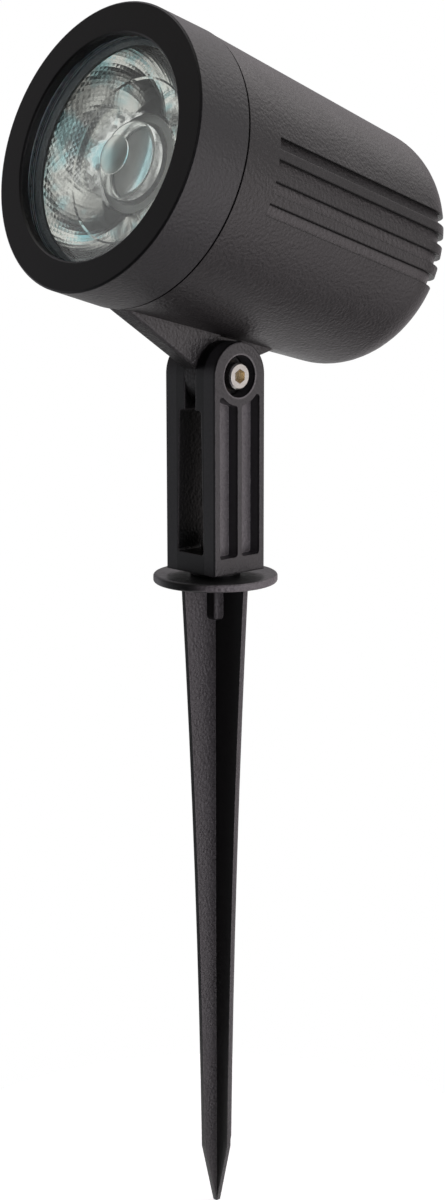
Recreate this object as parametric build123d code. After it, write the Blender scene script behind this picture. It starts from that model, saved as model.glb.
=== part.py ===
"""Garden spike spotlight: a die-cast lamp head on a slotted yoke, on a cross-ribbed ground spike.

World frame, millimetres: origin at the centre of the flange's underside, which is ground level.
+Z is up, X is the tilt axis with the pivot screw's head on +X, and the lamp shines towards -Y.

The lamp head is drawn in its own frame: z runs forward along the lamp axis, y points up from
the axis, and z = 0 lies square above the pivot. Places along that axis are named *_AT.
"""

from build123d import *
from math import asin, cos, radians, sin, sqrt, tan
import os

# ---------------------------------------------------------------- driving dimensions

# Ground spike
FLANGE_DIAMETER = 40.0
FLANGE_THICKNESS = 2.8
FLANGE_EDGE_ROUND = 0.9
SPIKE_LENGTH = 216.0            # flange underside to tip
SPIKE_SHOULDER_DEPTH = 194.4    # where the ribs turn in to the point
SPIKE_TOP_HALF = 13.95          # rib reach at the flange
SPIKE_MIDDLE_HALF = 8.85        # rib reach halfway to the shoulder
SPIKE_SHOULDER_HALF = 6.15
SPIKE_TIP_HALF = 0.9
SPIKE_RIB = 1.5                 # rib thickness
BOSS_SIDE = 9.0                 # square boss that holds the threaded insert
BOSS_LENGTH = 12.0
BOSS_ROUND = 1.6

# Yoke
YOKE_WIDTH = 23.0               # along X
YOKE_DEPTH = 21.4               # along Y, also the diameter of the round ears
YOKE_EDGE_ROUND = 0.5
PIVOT_ABOVE_FLANGE = 63.8
SLOT_WIDTH = 5.3
WINDOW_TOP_WIDTH = 10.3
WINDOW_BOTTOM_WIDTH = 12.3
WINDOW_TOP_BELOW_PIVOT = 10.6
WINDOW_CORNER = 1.0
YOKE_FLOOR = 6.2
PANEL_RIB = 2.0                 # thickness of the middle rib between a flank's two recesses
PANEL_EDGE = 2.3                # wall between each recess and the yoke's front or rear face
PANEL_WALL = 1.15               # least wall left between a recess and the window
PANEL_FOOT = 5.4                # height of the solid foot below the recesses
PANEL_CORNER = 0.9
EAR_WALL = 1.3                  # how far inside the ear's rim the recesses' round tops stop
MOUTH_ROUND = 0.35              # rims of the recesses, counterbore and nut pocket

# Pivot screw, M5
PIVOT_THREAD = 5.0
PIVOT_HEAD_DIAMETER = 8.5
PIVOT_HEAD_HEIGHT = 5.0
PIVOT_HEAD_CHAMFER = 0.5
PIVOT_SOCKET = 4.0              # across flats
PIVOT_SOCKET_DEPTH = 2.6
PIVOT_COUNTERBORE = 13.1
PIVOT_WASHER_DIAMETER = 10.0
PIVOT_WASHER_THICKNESS = 1.0
PIVOT_NUT_FLATS = 8.0
PIVOT_NUT_HEIGHT = 4.0
PIVOT_NUT_SUNK = 0.5

# Swivel bolt, M5
SWIVEL_THREAD = 5.0
SWIVEL_HEAD_FLATS = 8.0         # across flats
SWIVEL_HEAD_HEIGHT = 3.5
SWIVEL_SHANK_BELOW = 6.5        # reach below the flange's underside
SWIVEL_WASHER_DIAMETER = 16.0
SWIVEL_WASHER_THICKNESS = 1.35
SPRING_WASHER_DIAMETER = 9.2
SPRING_WASHER_THICKNESS = 1.2
SPRING_WASHER_GAP = 0.8
SPRING_WASHER_TURN = 35.0       # degrees from +X to its slit
INSERT_DIAMETER = 6.8
INSERT_DEPTH = 7.2              # reach below the flange's underside

# Lamp head
TILT = 17.0                     # degrees above the horizon as it stands
EAR_CLEARANCE = 0.8             # between the housing and the yoke's ears
FRONT_AT = 65.6                 # bezel's front face
REAR_AT = -59.8                 # housing's rear face
BEZEL_LENGTH = 20.3
BEZEL_STEP = 0.2                # how far the bezel stands proud of the housing
BEZEL_TAPER = 0.15              # radial, over its length
BEZEL_LIP = 3.2                 # thickness of the lip over the glass
BEZEL_OVER_GASKET = 0.9         # radial, how far the lip covers the gasket
BEZEL_EDGE = 0.5
SEAM_GAP = 0.35
HOUSING_DIAMETER = 86.9         # at the seam
HOUSING_DRAFT = 2.72            # degrees
HOUSING_REAR_ROUND = 19.0
HOUSING_FLOOR = 4.0
CAVITY_DRAFT = 1.2              # degrees
CAVITY_ROUND = 15.0
SPIGOT_STEP = 3.85              # radial, from the housing at the seam down to the spigot
SPIGOT_WALL = 3.6
LEDGE_WIDTH = 1.2               # seat of the heat spreader

# Cooling grooves on both flanks
GROOVE_COUNT = 4
GROOVE_PITCH = 6.55
GROOVE_WIDTH = 3.5
GROOVE_DEPTH = 1.7
GROOVE_MIDDLE_HEIGHT = 1.5      # of the four together, above the lamp axis
GROOVE_BEHIND_SEAM = 13.3
GROOVE_INNER_X = 14.0           # where the grooves die out on the rear face

# Bracket fin under the housing
FIN_TOP_THICKNESS = 8.6
FIN_FOOT_THICKNESS = 6.2
FIN_BEHIND_SEAM = 0.7           # where its front edge leaves the housing
FIN_REAR_AT = -19.0             # where its rear edge leaves the housing
FIN_FRONT_MEETS = -5.0          # degrees round the eye, from forward, where the front edge ends
FIN_REAR_MEETS = 144.0          # the same for the rear edge
FIN_ROOT = 8.0                  # how far its outline is carried into the housing
FIN_EDGE_ROUND = 1.2
TONGUE_THICKNESS = 5.0
SHOULDER_GAP = 1.7              # the thick fin stops this far outside the yoke's ears

# Glass, gasket and O-ring
GLASS_THICKNESS = 3.0
GLASS_BEVEL = 0.3
GASKET_INSET = 1.7              # radial, inside the spigot's outer face
GASKET_WALL = 1.1
GASKET_LIP = 0.8
GASKET_COVER = 1.6              # radial, how far its lips cover the glass
O_RING_SECTION = 1.6
O_RING_BEYOND_SEAM = 3.7

# Optic
OPTIC_RIM_THICKNESS = 1.6
OPTIC_DEPTH = 16.8              # from the back of its rim to its base
OPTIC_BASE_DIAMETER = 30.4
OPTIC_BULGE = 1.9               # how far the side wall swells out of a straight cone
OPTIC_NUB_DIAMETER = 11.8
OPTIC_NUB_HEIGHT = 0.5
WELL_MOUTH_DIAMETER = 26.0
WELL_TOP_DIAMETER = 24.4
WELL_DEPTH = 10.6
WELL_DOME = 2.0
OPTIC_RING_HEIGHT = 1.4
OPTIC_RING_COVER = 1.6          # radial, how far the ring covers the optic's rim
OPTIC_RING_FLARE = 1.2
CUP_HEIGHT = 23.4
CUP_FIT = 0.2                   # radial, cup and spreader in the housing's front bore
CUP_RIM_WALL = 1.1
CUP_SEAT = 1.1                  # width of the seat under the optic's rim
CUP_TO_OPTIC = 0.4              # radial
CUP_FLOOR = 1.2
CUP_TO_CLAMP = 1.5              # radial
CUP_SCREW_HOLE = 6.4

# Light source
SPREADER_THICKNESS = 3.0
SPREADER_SCREW_INSET = 4.1      # from the cup's bore to the screws' axes
SPREADER_SCREW_COUNT = 3
M3 = 3.0
M3_HEAD_DIAMETER = 5.6
M3_HEAD_HEIGHT = 1.8
SPREADER_SCREW_REACH = 7.0
SCREW_BOSS_DIAMETER = 8.0
SCREW_BOSS_LENGTH = 12.0
LED_SIDE = 22.0
LED_THICKNESS = 1.0
LED_PAD_THICKNESS = 0.3
PHOSPHOR_DIAMETER = 16.0        # of the round yellow field
PHOSPHOR_THICKNESS = 0.5
CLAMP_DIAMETER = 46.0
CLAMP_HEIGHT = 2.4
CLAMP_OPENING = 20.0
CLAMP_FLARE = 2.0
CLAMP_SCREW_INSET = 4.5         # from its rim to the screws' axes
LEAD_DIAMETER = 1.4
LEAD_BEND = 2.1
LEAD_SPACING = 5.0
LEAD_TO_CLAMP = 3.5             # leads pass the spreader this far outside the clamp
LEAD_RISE = 12.0                # from their hole up to where they leave the driver
LEAD_HOLE_DIAMETER = 8.0

# Driver
DRIVER_WIDTH = 40.0
DRIVER_HEIGHT = 26.0
DRIVER_LENGTH = 58.0
DRIVER_BEHIND_BOSSES = 1.0
DRIVER_TO_WALL = 2.0            # from its lower edges to the cavity's wall
DRIVER_ROUND = 2.0
DRIVER_PAD_WIDTH = 28.0
DRIVER_PAD_LENGTH = 40.0

# Cable gland
GLAND_THREAD = 12.0
GLAND_FLATS = 15.0
GLAND_FLANGE_HEIGHT = 3.0
GLAND_NECK_DIAMETER = 11.0
GLAND_NECK_LENGTH = 5.0
GLAND_WASHER_DIAMETER = 15.0
GLAND_WASHER_THICKNESS = 0.8
GLAND_LOCKNUT_HEIGHT = 3.0
GLAND_CAP_HEIGHT = 8.5
GLAND_CAP_DIAMETER = 16.8       # over its turned corners
GLAND_CAP_ROUND = 2.8
GLAND_SEAL_DIAMETER = 8.4
GLAND_CABLE_BORE = 6.5

# Clearances
RUNNING_FIT = 0.05              # radial, a shank in the bore it turns in
FACE_GAP = 0.05                 # between faces that slide on each other
SLIP_FIT = 0.1                  # radial, parts that drop into a seat

# ---------------------------------------------------------------- places worked out from them

PIVOT_Z = FLANGE_THICKNESS + PIVOT_ABOVE_FLANGE
YOKE_BASE_Z = FLANGE_THICKNESS + SWIVEL_WASHER_THICKNESS + FACE_GAP
YOKE_FLOOR_Z = YOKE_BASE_Z + YOKE_FLOOR
WINDOW_TOP_Z = PIVOT_Z - WINDOW_TOP_BELOW_PIVOT
EAR_RADIUS = YOKE_DEPTH / 2
YOKE_HALF = YOKE_WIDTH / 2

SEAM_AT = FRONT_AT - BEZEL_LENGTH
O_RING_AT = SEAM_AT + O_RING_BEYOND_SEAM
GROOVE_FRONT_AT = SEAM_AT - GROOVE_BEHIND_SEAM
FIN_FRONT_AT = SEAM_AT - FIN_BEHIND_SEAM
GLASS_FRONT_AT = FRONT_AT - BEZEL_LIP - GASKET_LIP
GLASS_BACK_AT = GLASS_FRONT_AT - GLASS_THICKNESS
GASKET_BACK_AT = GLASS_BACK_AT - GASKET_LIP
OPTIC_FRONT_AT = GASKET_BACK_AT - OPTIC_RING_HEIGHT
OPTIC_RIM_BACK_AT = OPTIC_FRONT_AT - OPTIC_RIM_THICKNESS
OPTIC_BASE_AT = OPTIC_RIM_BACK_AT - OPTIC_DEPTH
WELL_TOP_AT = OPTIC_BASE_AT + WELL_DEPTH
SPREADER_FRONT_AT = OPTIC_FRONT_AT - CUP_HEIGHT
LEDGE_AT = SPREADER_FRONT_AT - SPREADER_THICKNESS
LED_BACK_AT = SPREADER_FRONT_AT + LED_PAD_THICKNESS
LED_FRONT_AT = LED_BACK_AT + LED_THICKNESS
CLAMP_FRONT_AT = SPREADER_FRONT_AT + CLAMP_HEIGHT
DRIVER_FRONT_AT = LEDGE_AT - SCREW_BOSS_LENGTH - DRIVER_BEHIND_BOSSES
CAVITY_REAR_AT = REAR_AT + HOUSING_FLOOR

SPIGOT_DIAMETER = HOUSING_DIAMETER - 2 * SPIGOT_STEP
FRONT_BORE = SPIGOT_DIAMETER - 2 * SPIGOT_WALL
GASKET_DIAMETER = SPIGOT_DIAMETER - 2 * GASKET_INSET
GLASS_DIAMETER = GASKET_DIAMETER - 2 * GASKET_WALL
GASKET_OPENING = GLASS_DIAMETER - 2 * GASKET_COVER
BEZEL_OPENING = GASKET_OPENING - 2 * BEZEL_OVER_GASKET
CUP_DIAMETER = FRONT_BORE - 2 * CUP_FIT
OPTIC_RIM_DIAMETER = CUP_DIAMETER - 2 * (CUP_RIM_WALL + SLIP_FIT)
CUP_BORE = CUP_DIAMETER - 2 * (CUP_RIM_WALL + CUP_SEAT)
OPTIC_DIAMETER = CUP_BORE - 2 * CUP_TO_OPTIC
OPTIC_RING_OPENING = OPTIC_RIM_DIAMETER - 2 * OPTIC_RING_COVER
SPREADER_SCREW_CIRCLE = CUP_BORE - 2 * SPREADER_SCREW_INSET
CLAMP_SCREW_SPACING = CLAMP_DIAMETER - 2 * CLAMP_SCREW_INSET
LEAD_DROP = CLAMP_DIAMETER / 2 + LEAD_TO_CLAMP

CAVITY_FRONT_RADIUS = FRONT_BORE / 2 - LEDGE_WIDTH
CAVITY_REAR_RADIUS = CAVITY_FRONT_RADIUS - tan(radians(CAVITY_DRAFT)) * (LEDGE_AT - CAVITY_REAR_AT)
DRIVER_FOOT = -sqrt((CAVITY_REAR_RADIUS - DRIVER_TO_WALL) ** 2 - (DRIVER_WIDTH / 2) ** 2)


def housing_radius(at):
    """Outer radius of the drafted housing at a place on the lamp axis."""
    return HOUSING_DIAMETER / 2 - tan(radians(HOUSING_DRAFT)) * (SEAM_AT - at)


AXIS_HEIGHT = housing_radius(0) + EAR_CLEARANCE + EAR_RADIUS  # lamp axis above the pivot
FORWARD = Vector(0, -cos(radians(TILT)), sin(radians(TILT)))
HEAD_UP = Vector(0, sin(radians(TILT)), cos(radians(TILT)))
HEAD = Plane(
    origin=Vector(0, 0, PIVOT_Z) + HEAD_UP * AXIS_HEIGHT, x_dir=(1, 0, 0), z_dir=FORWARD
)
FROM_BOTTOM = (Align.CENTER, Align.CENTER, Align.MIN)


# ---------------------------------------------------------------- shared forms

def turned(*outline):
    """A solid turned about z from (radius, z) points."""
    return revolve(Plane.XZ * Polygon(*outline, align=None), Axis.Z)


def rod(diameter, start, end):
    """A cylinder on z from start to end."""
    return Pos(0, 0, start) * Cylinder(diameter / 2, end - start, align=FROM_BOTTOM)


def ring(outer, inner, start, end):
    """A round tube on z from start to end, by its two diameters."""
    return rod(outer, start, end) - rod(inner, start - 1, end + 1)


def hexagon(flats, start, end):
    """A hexagonal prism on z, by its size across flats."""
    outline = RegularPolygon(flats / 2, 6, major_radius=False)
    return Pos(0, 0, start) * extrude(outline, end - start)


def block(x_span, y_span, z_span):
    """A box from its lowest and highest value on each axis."""
    low = [min(span) for span in (x_span, y_span, z_span)]
    size = [abs(span[1] - span[0]) for span in (x_span, y_span, z_span)]
    return Pos(*low) * Box(*size, align=(Align.MIN, Align.MIN, Align.MIN))


def on_circle(diameter, count, first_angle):
    """Places spread evenly on a circle about z."""
    return [Rot(0, 0, first_angle + 360 / count * i) * Pos(diameter / 2, 0, 0) for i in range(count)]


def across(shape):
    """Turn a shape that was drawn along z so that its z runs along world +X, through the pivot."""
    return Pos(0, 0, PIVOT_Z) * Rot(0, 90, 0) * shape


def pan_screw(head_seat, tip):
    """A small pan-head screw on z, its head standing forward of the seat."""
    head = Pos(0, 0, head_seat) * Cylinder(M3_HEAD_DIAMETER / 2, M3_HEAD_HEIGHT, align=FROM_BOTTOM)
    head = fillet(head.faces().sort_by(Axis.Z)[-1].edges(), M3_HEAD_HEIGHT / 3)
    return head + rod(M3, tip, head_seat)


def write(name, shape):
    """Write one node's solids."""
    export_step(shape, "parts/" + name + ".step")


# ---------------------------------------------------------------- ground spike

def ground_spike():
    """Moulded flange, cross of two tapering plates and the boss for the insert, in one piece."""
    right = [
        Line((SPIKE_TOP_HALF, 0), (SPIKE_TOP_HALF, 0.5)),
        ThreePointArc(
            (SPIKE_TOP_HALF, 0),
            (SPIKE_MIDDLE_HALF, -SPIKE_SHOULDER_DEPTH / 2),
            (SPIKE_SHOULDER_HALF, -SPIKE_SHOULDER_DEPTH),
        ),
        Line((SPIKE_SHOULDER_HALF, -SPIKE_SHOULDER_DEPTH), (SPIKE_TIP_HALF, -SPIKE_LENGTH)),
        Line((SPIKE_TIP_HALF, -SPIKE_LENGTH), (0, -SPIKE_LENGTH)),
        Line((0, -SPIKE_LENGTH), (0, 0.5)),
        Line((0, 0.5), (SPIKE_TOP_HALF, 0.5)),
    ]
    half_plate = extrude(Plane.XZ * make_face(right), SPIKE_RIB / 2, both=True)
    plate = half_plate + mirror(half_plate, Plane.YZ)
    cross = plate + Rot(0, 0, 90) * plate

    flange = rod(FLANGE_DIAMETER, 0, FLANGE_THICKNESS)
    flange = fillet(flange.edges().filter_by(GeomType.CIRCLE), FLANGE_EDGE_ROUND)

    half = BOSS_SIDE / 2
    boss = block((-half, half), (-half, half), (-BOSS_LENGTH, 0.5))
    boss = fillet(boss.edges().filter_by(Axis.Z) + boss.faces().sort_by(Axis.Z)[0].edges(), BOSS_ROUND)

    insert_hole = rod(INSERT_DIAMETER, -INSERT_DEPTH, FLANGE_THICKNESS + 1)
    return cross + flange + boss - insert_hole


def swivel_insert():
    """Knurled brass insert moulded into the boss, flush with the flange's top."""
    return ring(INSERT_DIAMETER, SWIVEL_THREAD, -INSERT_DEPTH, FLANGE_THICKNESS)


def swivel_washer():
    """Nylon washer on which the yoke turns; it shows as the thin gap above the flange."""
    bore = SWIVEL_THREAD + 2 * SLIP_FIT
    return ring(SWIVEL_WASHER_DIAMETER, bore, FLANGE_THICKNESS, FLANGE_THICKNESS + SWIVEL_WASHER_THICKNESS)


def spring_washer():
    """Split washer on the yoke's floor, under the bolt's head."""
    start = YOKE_FLOOR_Z + FACE_GAP
    end = start + SPRING_WASHER_THICKNESS
    washer = ring(SPRING_WASHER_DIAMETER, SWIVEL_THREAD + 2 * SLIP_FIT, start, end)
    half = SPRING_WASHER_GAP / 2
    slit = block((0, SPRING_WASHER_DIAMETER), (-half, half), (start - 1, end + 1))
    return washer - Rot(0, 0, SPRING_WASHER_TURN) * slit


def swivel_bolt():
    """Hexagon bolt down through the yoke's floor into the insert."""
    seat = YOKE_FLOOR_Z + FACE_GAP + SPRING_WASHER_THICKNESS
    head = hexagon(SWIVEL_HEAD_FLATS, seat, seat + SWIVEL_HEAD_HEIGHT)
    return head + rod(SWIVEL_THREAD, -SWIVEL_SHANK_BELOW, seat)


# ---------------------------------------------------------------- yoke

def side_panel():
    """Outline of one of the two recesses in a flank, which follows the ring around the pivot."""
    low = YOKE_BASE_Z + PANEL_FOOT
    inner, outer = PANEL_RIB / 2, EAR_RADIUS - PANEL_EDGE
    outline = Polygon((inner, low), (outer, low), (outer, PIVOT_Z), (inner, PIVOT_Z), align=None)
    outline -= Pos(0, PIVOT_Z) * Circle(EAR_RADIUS - EAR_WALL)
    return fillet(outline.vertices(), PANEL_CORNER)


def yoke():
    """Moulded upright: two round ears, a through window, and a pair of recesses in each flank."""
    outline = Polygon(
        (-EAR_RADIUS, YOKE_BASE_Z), (EAR_RADIUS, YOKE_BASE_Z),
        (EAR_RADIUS, PIVOT_Z), (-EAR_RADIUS, PIVOT_Z), align=None,
    )
    outline += Pos(0, PIVOT_Z) * Circle(EAR_RADIUS)
    body = extrude(Plane.YZ * outline, YOKE_HALF, both=True)
    flanks = body.faces().filter_by(Axis.X)
    body = fillet(flanks.edges(), YOKE_EDGE_ROUND)

    window = Polygon(
        (-WINDOW_BOTTOM_WIDTH / 2, YOKE_FLOOR_Z), (WINDOW_BOTTOM_WIDTH / 2, YOKE_FLOOR_Z),
        (WINDOW_TOP_WIDTH / 2, WINDOW_TOP_Z), (-WINDOW_TOP_WIDTH / 2, WINDOW_TOP_Z), align=None,
    )
    window = fillet(window.vertices(), WINDOW_CORNER)
    body -= extrude(Plane.XZ * window, YOKE_DEPTH, both=True)
    half_slot = SLOT_WIDTH / 2
    slot_span = (WINDOW_TOP_Z - 1, PIVOT_Z + YOKE_DEPTH)
    body -= block((-half_slot, half_slot), (-YOKE_DEPTH, YOKE_DEPTH), slot_span)

    recess_floor = WINDOW_BOTTOM_WIDTH / 2 + PANEL_WALL
    recess = Pos(recess_floor, 0, 0) * extrude(Plane.YZ * side_panel(), YOKE_WIDTH)
    recesses = recess + mirror(recess, Plane.XZ)
    body -= recesses + mirror(recesses, Plane.YZ)

    bore = PIVOT_THREAD + 2 * RUNNING_FIT
    counterbore = PIVOT_HEAD_HEIGHT + PIVOT_WASHER_THICKNESS
    nut_pocket = PIVOT_NUT_HEIGHT + PIVOT_NUT_SUNK
    body -= across(rod(bore, -YOKE_HALF, YOKE_HALF))
    body -= across(rod(PIVOT_COUNTERBORE, YOKE_HALF - counterbore, YOKE_HALF + 1))
    body -= across(hexagon(PIVOT_NUT_FLATS + SLIP_FIT, -YOKE_HALF - 1, -YOKE_HALF + nut_pocket))
    body -= rod(SWIVEL_THREAD + 2 * RUNNING_FIT, YOKE_BASE_Z - 1, YOKE_FLOOR_Z + 1)
    flanks = body.faces().filter_by(Axis.X).sort_by(Axis.X)
    mouths = flanks[0].inner_wires() + flanks[-1].inner_wires()
    return fillet(mouths.edges(), MOUTH_ROUND)


def pivot_bolt():
    """Socket-head screw across the ears, its head flush with the +X flank."""
    seat = YOKE_HALF - PIVOT_HEAD_HEIGHT
    head = rod(PIVOT_HEAD_DIAMETER, seat, YOKE_HALF)
    head = chamfer(head.faces().sort_by(Axis.Z)[-1].edges(), PIVOT_HEAD_CHAMFER)
    socket = hexagon(PIVOT_SOCKET, YOKE_HALF - PIVOT_SOCKET_DEPTH, YOKE_HALF + 1)
    return across(head - socket + rod(PIVOT_THREAD, -YOKE_HALF + PIVOT_NUT_SUNK, seat))


def pivot_washer():
    """Plain washer in the counterbore, under the screw's head."""
    seat = YOKE_HALF - PIVOT_HEAD_HEIGHT
    bore = PIVOT_THREAD + 2 * SLIP_FIT
    return across(ring(PIVOT_WASHER_DIAMETER, bore, seat - PIVOT_WASHER_THICKNESS, seat))


def pivot_nut():
    """Hexagon nut held from turning by its pocket in the -X flank."""
    start = -YOKE_HALF + PIVOT_NUT_SUNK
    nut = hexagon(PIVOT_NUT_FLATS, start, start + PIVOT_NUT_HEIGHT)
    return across(nut - rod(PIVOT_THREAD, start - 1, start + PIVOT_NUT_HEIGHT + 1))


# ---------------------------------------------------------------- lamp head, in its own frame

def housing_form(inset):
    """The housing's outer form from seam to rear face, drawn in by an inset."""
    rear_at = REAR_AT + inset
    seam_radius, rear_radius = housing_radius(SEAM_AT) - inset, housing_radius(rear_at) - inset
    outline = Polygon(
        (0, rear_at), (rear_radius, rear_at), (seam_radius, SEAM_AT), (0, SEAM_AT), align=None
    )
    rear_corner = outline.vertices().sort_by(Axis.Y)[:2].sort_by(Axis.X)[-1]
    outline = fillet(rear_corner, HOUSING_REAR_ROUND - inset)
    return revolve(Plane.XZ * outline, Axis.Z)


def cooling_grooves():
    """Straight grooves on both flanks that follow the housing round its rear edge."""
    skin = housing_form(0) - housing_form(GROOVE_DEPTH)
    reach = HOUSING_DIAMETER
    slots = Part()
    for i in range(GROOVE_COUNT):
        middle = GROOVE_MIDDLE_HEIGHT + (i - (GROOVE_COUNT - 1) / 2) * GROOVE_PITCH
        band = (middle - GROOVE_WIDTH / 2, middle + GROOVE_WIDTH / 2)
        slots += block((GROOVE_INNER_X, reach), band, (REAR_AT - 1, GROOVE_FRONT_AT))
    slots += mirror(slots, Plane.YZ)
    return skin & slots


def on_eye(angle):
    """A point on the fin's round eye, by its angle from forward, as (height, forward)."""
    return (-AXIS_HEIGHT + EAR_RADIUS * sin(radians(angle)), EAR_RADIUS * cos(radians(angle)))


def fin_outline():
    """Side view of the bracket fin on the plane x = 0, as (height, forward) points."""
    inside = -housing_radius(0) + FIN_ROOT
    web = Polygon(
        (inside, FIN_REAR_AT), (-housing_radius(FIN_REAR_AT), FIN_REAR_AT), on_eye(FIN_REAR_MEETS),
        (-AXIS_HEIGHT, 0), on_eye(FIN_FRONT_MEETS),
        (-housing_radius(FIN_FRONT_AT), FIN_FRONT_AT), (inside, FIN_FRONT_AT), align=None,
    )
    return web + Pos(-AXIS_HEIGHT, 0) * Circle(EAR_RADIUS)


def bracket_fin():
    """Drafted web under the housing that thins to a tongue between the yoke's ears."""
    outline = fin_outline()
    tongue = extrude(Plane.YZ * outline, TONGUE_THICKNESS / 2, both=True)
    thick = outline - Pos(-AXIS_HEIGHT, 0) * Circle(EAR_RADIUS + SHOULDER_GAP)
    thick = extrude(Plane.YZ * thick, FIN_TOP_THICKNESS, both=True)
    top, foot = FIN_TOP_THICKNESS / 2, FIN_FOOT_THICKNESS / 2
    top_height, foot_height = -housing_radius(FIN_FRONT_AT), -AXIS_HEIGHT - EAR_RADIUS
    draft = Polygon(
        (-top, 0), (-top, top_height), (-foot, foot_height),
        (foot, foot_height), (top, top_height), (top, 0), align=None,
    )
    web = thick & Pos(0, 0, REAR_AT) * extrude(draft, FRONT_AT - REAR_AT)
    underside = web.faces().filter_by(GeomType.PLANE).filter_by(lambda face: face.normal_at().Y < -0.5)
    return tongue + fillet(underside.edges().filter_by(Axis.X, reverse=True), FIN_EDGE_ROUND)


def screw_places():
    """The heat spreader's screws, clear of the leads at the bottom."""
    return on_circle(SPREADER_SCREW_CIRCLE, SPREADER_SCREW_COUNT, 90)


def cavity_form(inset):
    """The drafted space for the driver, from the spreader's ledge to the rear wall, less an inset."""
    outline = Polygon(
        (0, CAVITY_REAR_AT), (CAVITY_REAR_RADIUS - inset, CAVITY_REAR_AT),
        (CAVITY_FRONT_RADIUS - inset, LEDGE_AT), (0, LEDGE_AT), align=None,
    )
    corner = outline.vertices().sort_by(Axis.Y)[:2].sort_by(Axis.X)[-1]
    return revolve(Plane.XZ * fillet(corner, CAVITY_ROUND), Axis.Z)


def head_housing():
    """Die-cast can with a spigot for the bezel, cooling grooves and the bracket fin."""
    body = housing_form(0) - cooling_grooves() + bracket_fin()
    body += rod(SPIGOT_DIAMETER, SEAM_AT - 1, GASKET_BACK_AT)

    cavity = cavity_form(0)
    boss_start = LEDGE_AT - SCREW_BOSS_LENGTH
    boss = rod(SCREW_BOSS_DIAMETER, boss_start, LEDGE_AT)
    half_boss = SCREW_BOSS_DIAMETER / 2
    boss += block((0, SCREW_BOSS_DIAMETER), (-half_boss, half_boss), (boss_start, LEDGE_AT))
    for place in screw_places():
        cavity -= place * boss
        cavity += place * rod(M3, LEDGE_AT - SPREADER_SCREW_REACH - 1, LEDGE_AT)
    body -= cavity
    body -= rod(FRONT_BORE, LEDGE_AT, GASKET_BACK_AT + 1)

    body -= rod(GLAND_THREAD + 2 * SLIP_FIT, REAR_AT - 1, CAVITY_REAR_AT + 1)
    groove_bottom = SPIGOT_DIAMETER - 2 * O_RING_SECTION + 2 * SLIP_FIT
    half = O_RING_SECTION / 2 + SLIP_FIT
    body -= ring(SPIGOT_DIAMETER + 1, groove_bottom, O_RING_AT - half, O_RING_AT + half)
    pivot_bore = rod(PIVOT_THREAD + 2 * RUNNING_FIT, -FIN_TOP_THICKNESS, FIN_TOP_THICKNESS)
    return body - Pos(0, -AXIS_HEIGHT, 0) * Rot(0, 90, 0) * pivot_bore


def front_bezel():
    """Turned ring that screws over the spigot and holds the glass under its lip."""
    rear = HOUSING_DIAMETER / 2 + BEZEL_STEP
    front = rear + BEZEL_TAPER
    opening = BEZEL_OPENING / 2
    lip_back_at = FRONT_AT - BEZEL_LIP
    seat = GASKET_DIAMETER / 2 + SLIP_FIT
    bore = SPIGOT_DIAMETER / 2 + SLIP_FIT
    back_at = SEAM_AT + SEAM_GAP
    step_at = GASKET_BACK_AT + SLIP_FIT
    return turned(
        (opening + BEZEL_EDGE, FRONT_AT), (front - BEZEL_EDGE, FRONT_AT), (front, FRONT_AT - BEZEL_EDGE),
        (rear, back_at + BEZEL_EDGE), (rear - BEZEL_EDGE, back_at), (bore, back_at), (bore, step_at),
        (seat, step_at), (seat, lip_back_at), (opening, lip_back_at), (opening, FRONT_AT - BEZEL_EDGE),
    )


def bezel_o_ring():
    """O-ring in the spigot's groove, which seals the bezel."""
    half = O_RING_SECTION / 2
    return Pos(0, 0, O_RING_AT) * Torus(SPIGOT_DIAMETER / 2 + SLIP_FIT - half, half)


def front_glass():
    """Clear toughened glass with a ground edge."""
    radius, face = GLASS_DIAMETER / 2, GLASS_DIAMETER / 2 - GLASS_BEVEL
    return turned(
        (0, GLASS_BACK_AT), (face, GLASS_BACK_AT), (radius, GLASS_BACK_AT + GLASS_BEVEL),
        (radius, GLASS_FRONT_AT - GLASS_BEVEL), (face, GLASS_FRONT_AT), (0, GLASS_FRONT_AT),
    )


def glass_gasket():
    """Silicone channel that wraps the edge of the glass."""
    outer, lip = GASKET_DIAMETER / 2, GASKET_OPENING / 2
    channel = GLASS_DIAMETER / 2 + SLIP_FIT / 2
    front_at = GLASS_FRONT_AT + GASKET_LIP
    return turned(
        (outer, GASKET_BACK_AT), (outer, front_at), (lip, front_at), (lip, GLASS_FRONT_AT),
        (channel, GLASS_FRONT_AT), (channel, GLASS_BACK_AT), (lip, GLASS_BACK_AT), (lip, GASKET_BACK_AT),
    )


def optic_ring():
    """Flared ring that keeps the optic in its cup."""
    opening, outer = OPTIC_RING_OPENING / 2, CUP_DIAMETER / 2
    return turned(
        (opening, OPTIC_FRONT_AT), (outer, OPTIC_FRONT_AT), (outer, GASKET_BACK_AT),
        (opening + OPTIC_RING_FLARE, GASKET_BACK_AT),
    )


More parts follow.
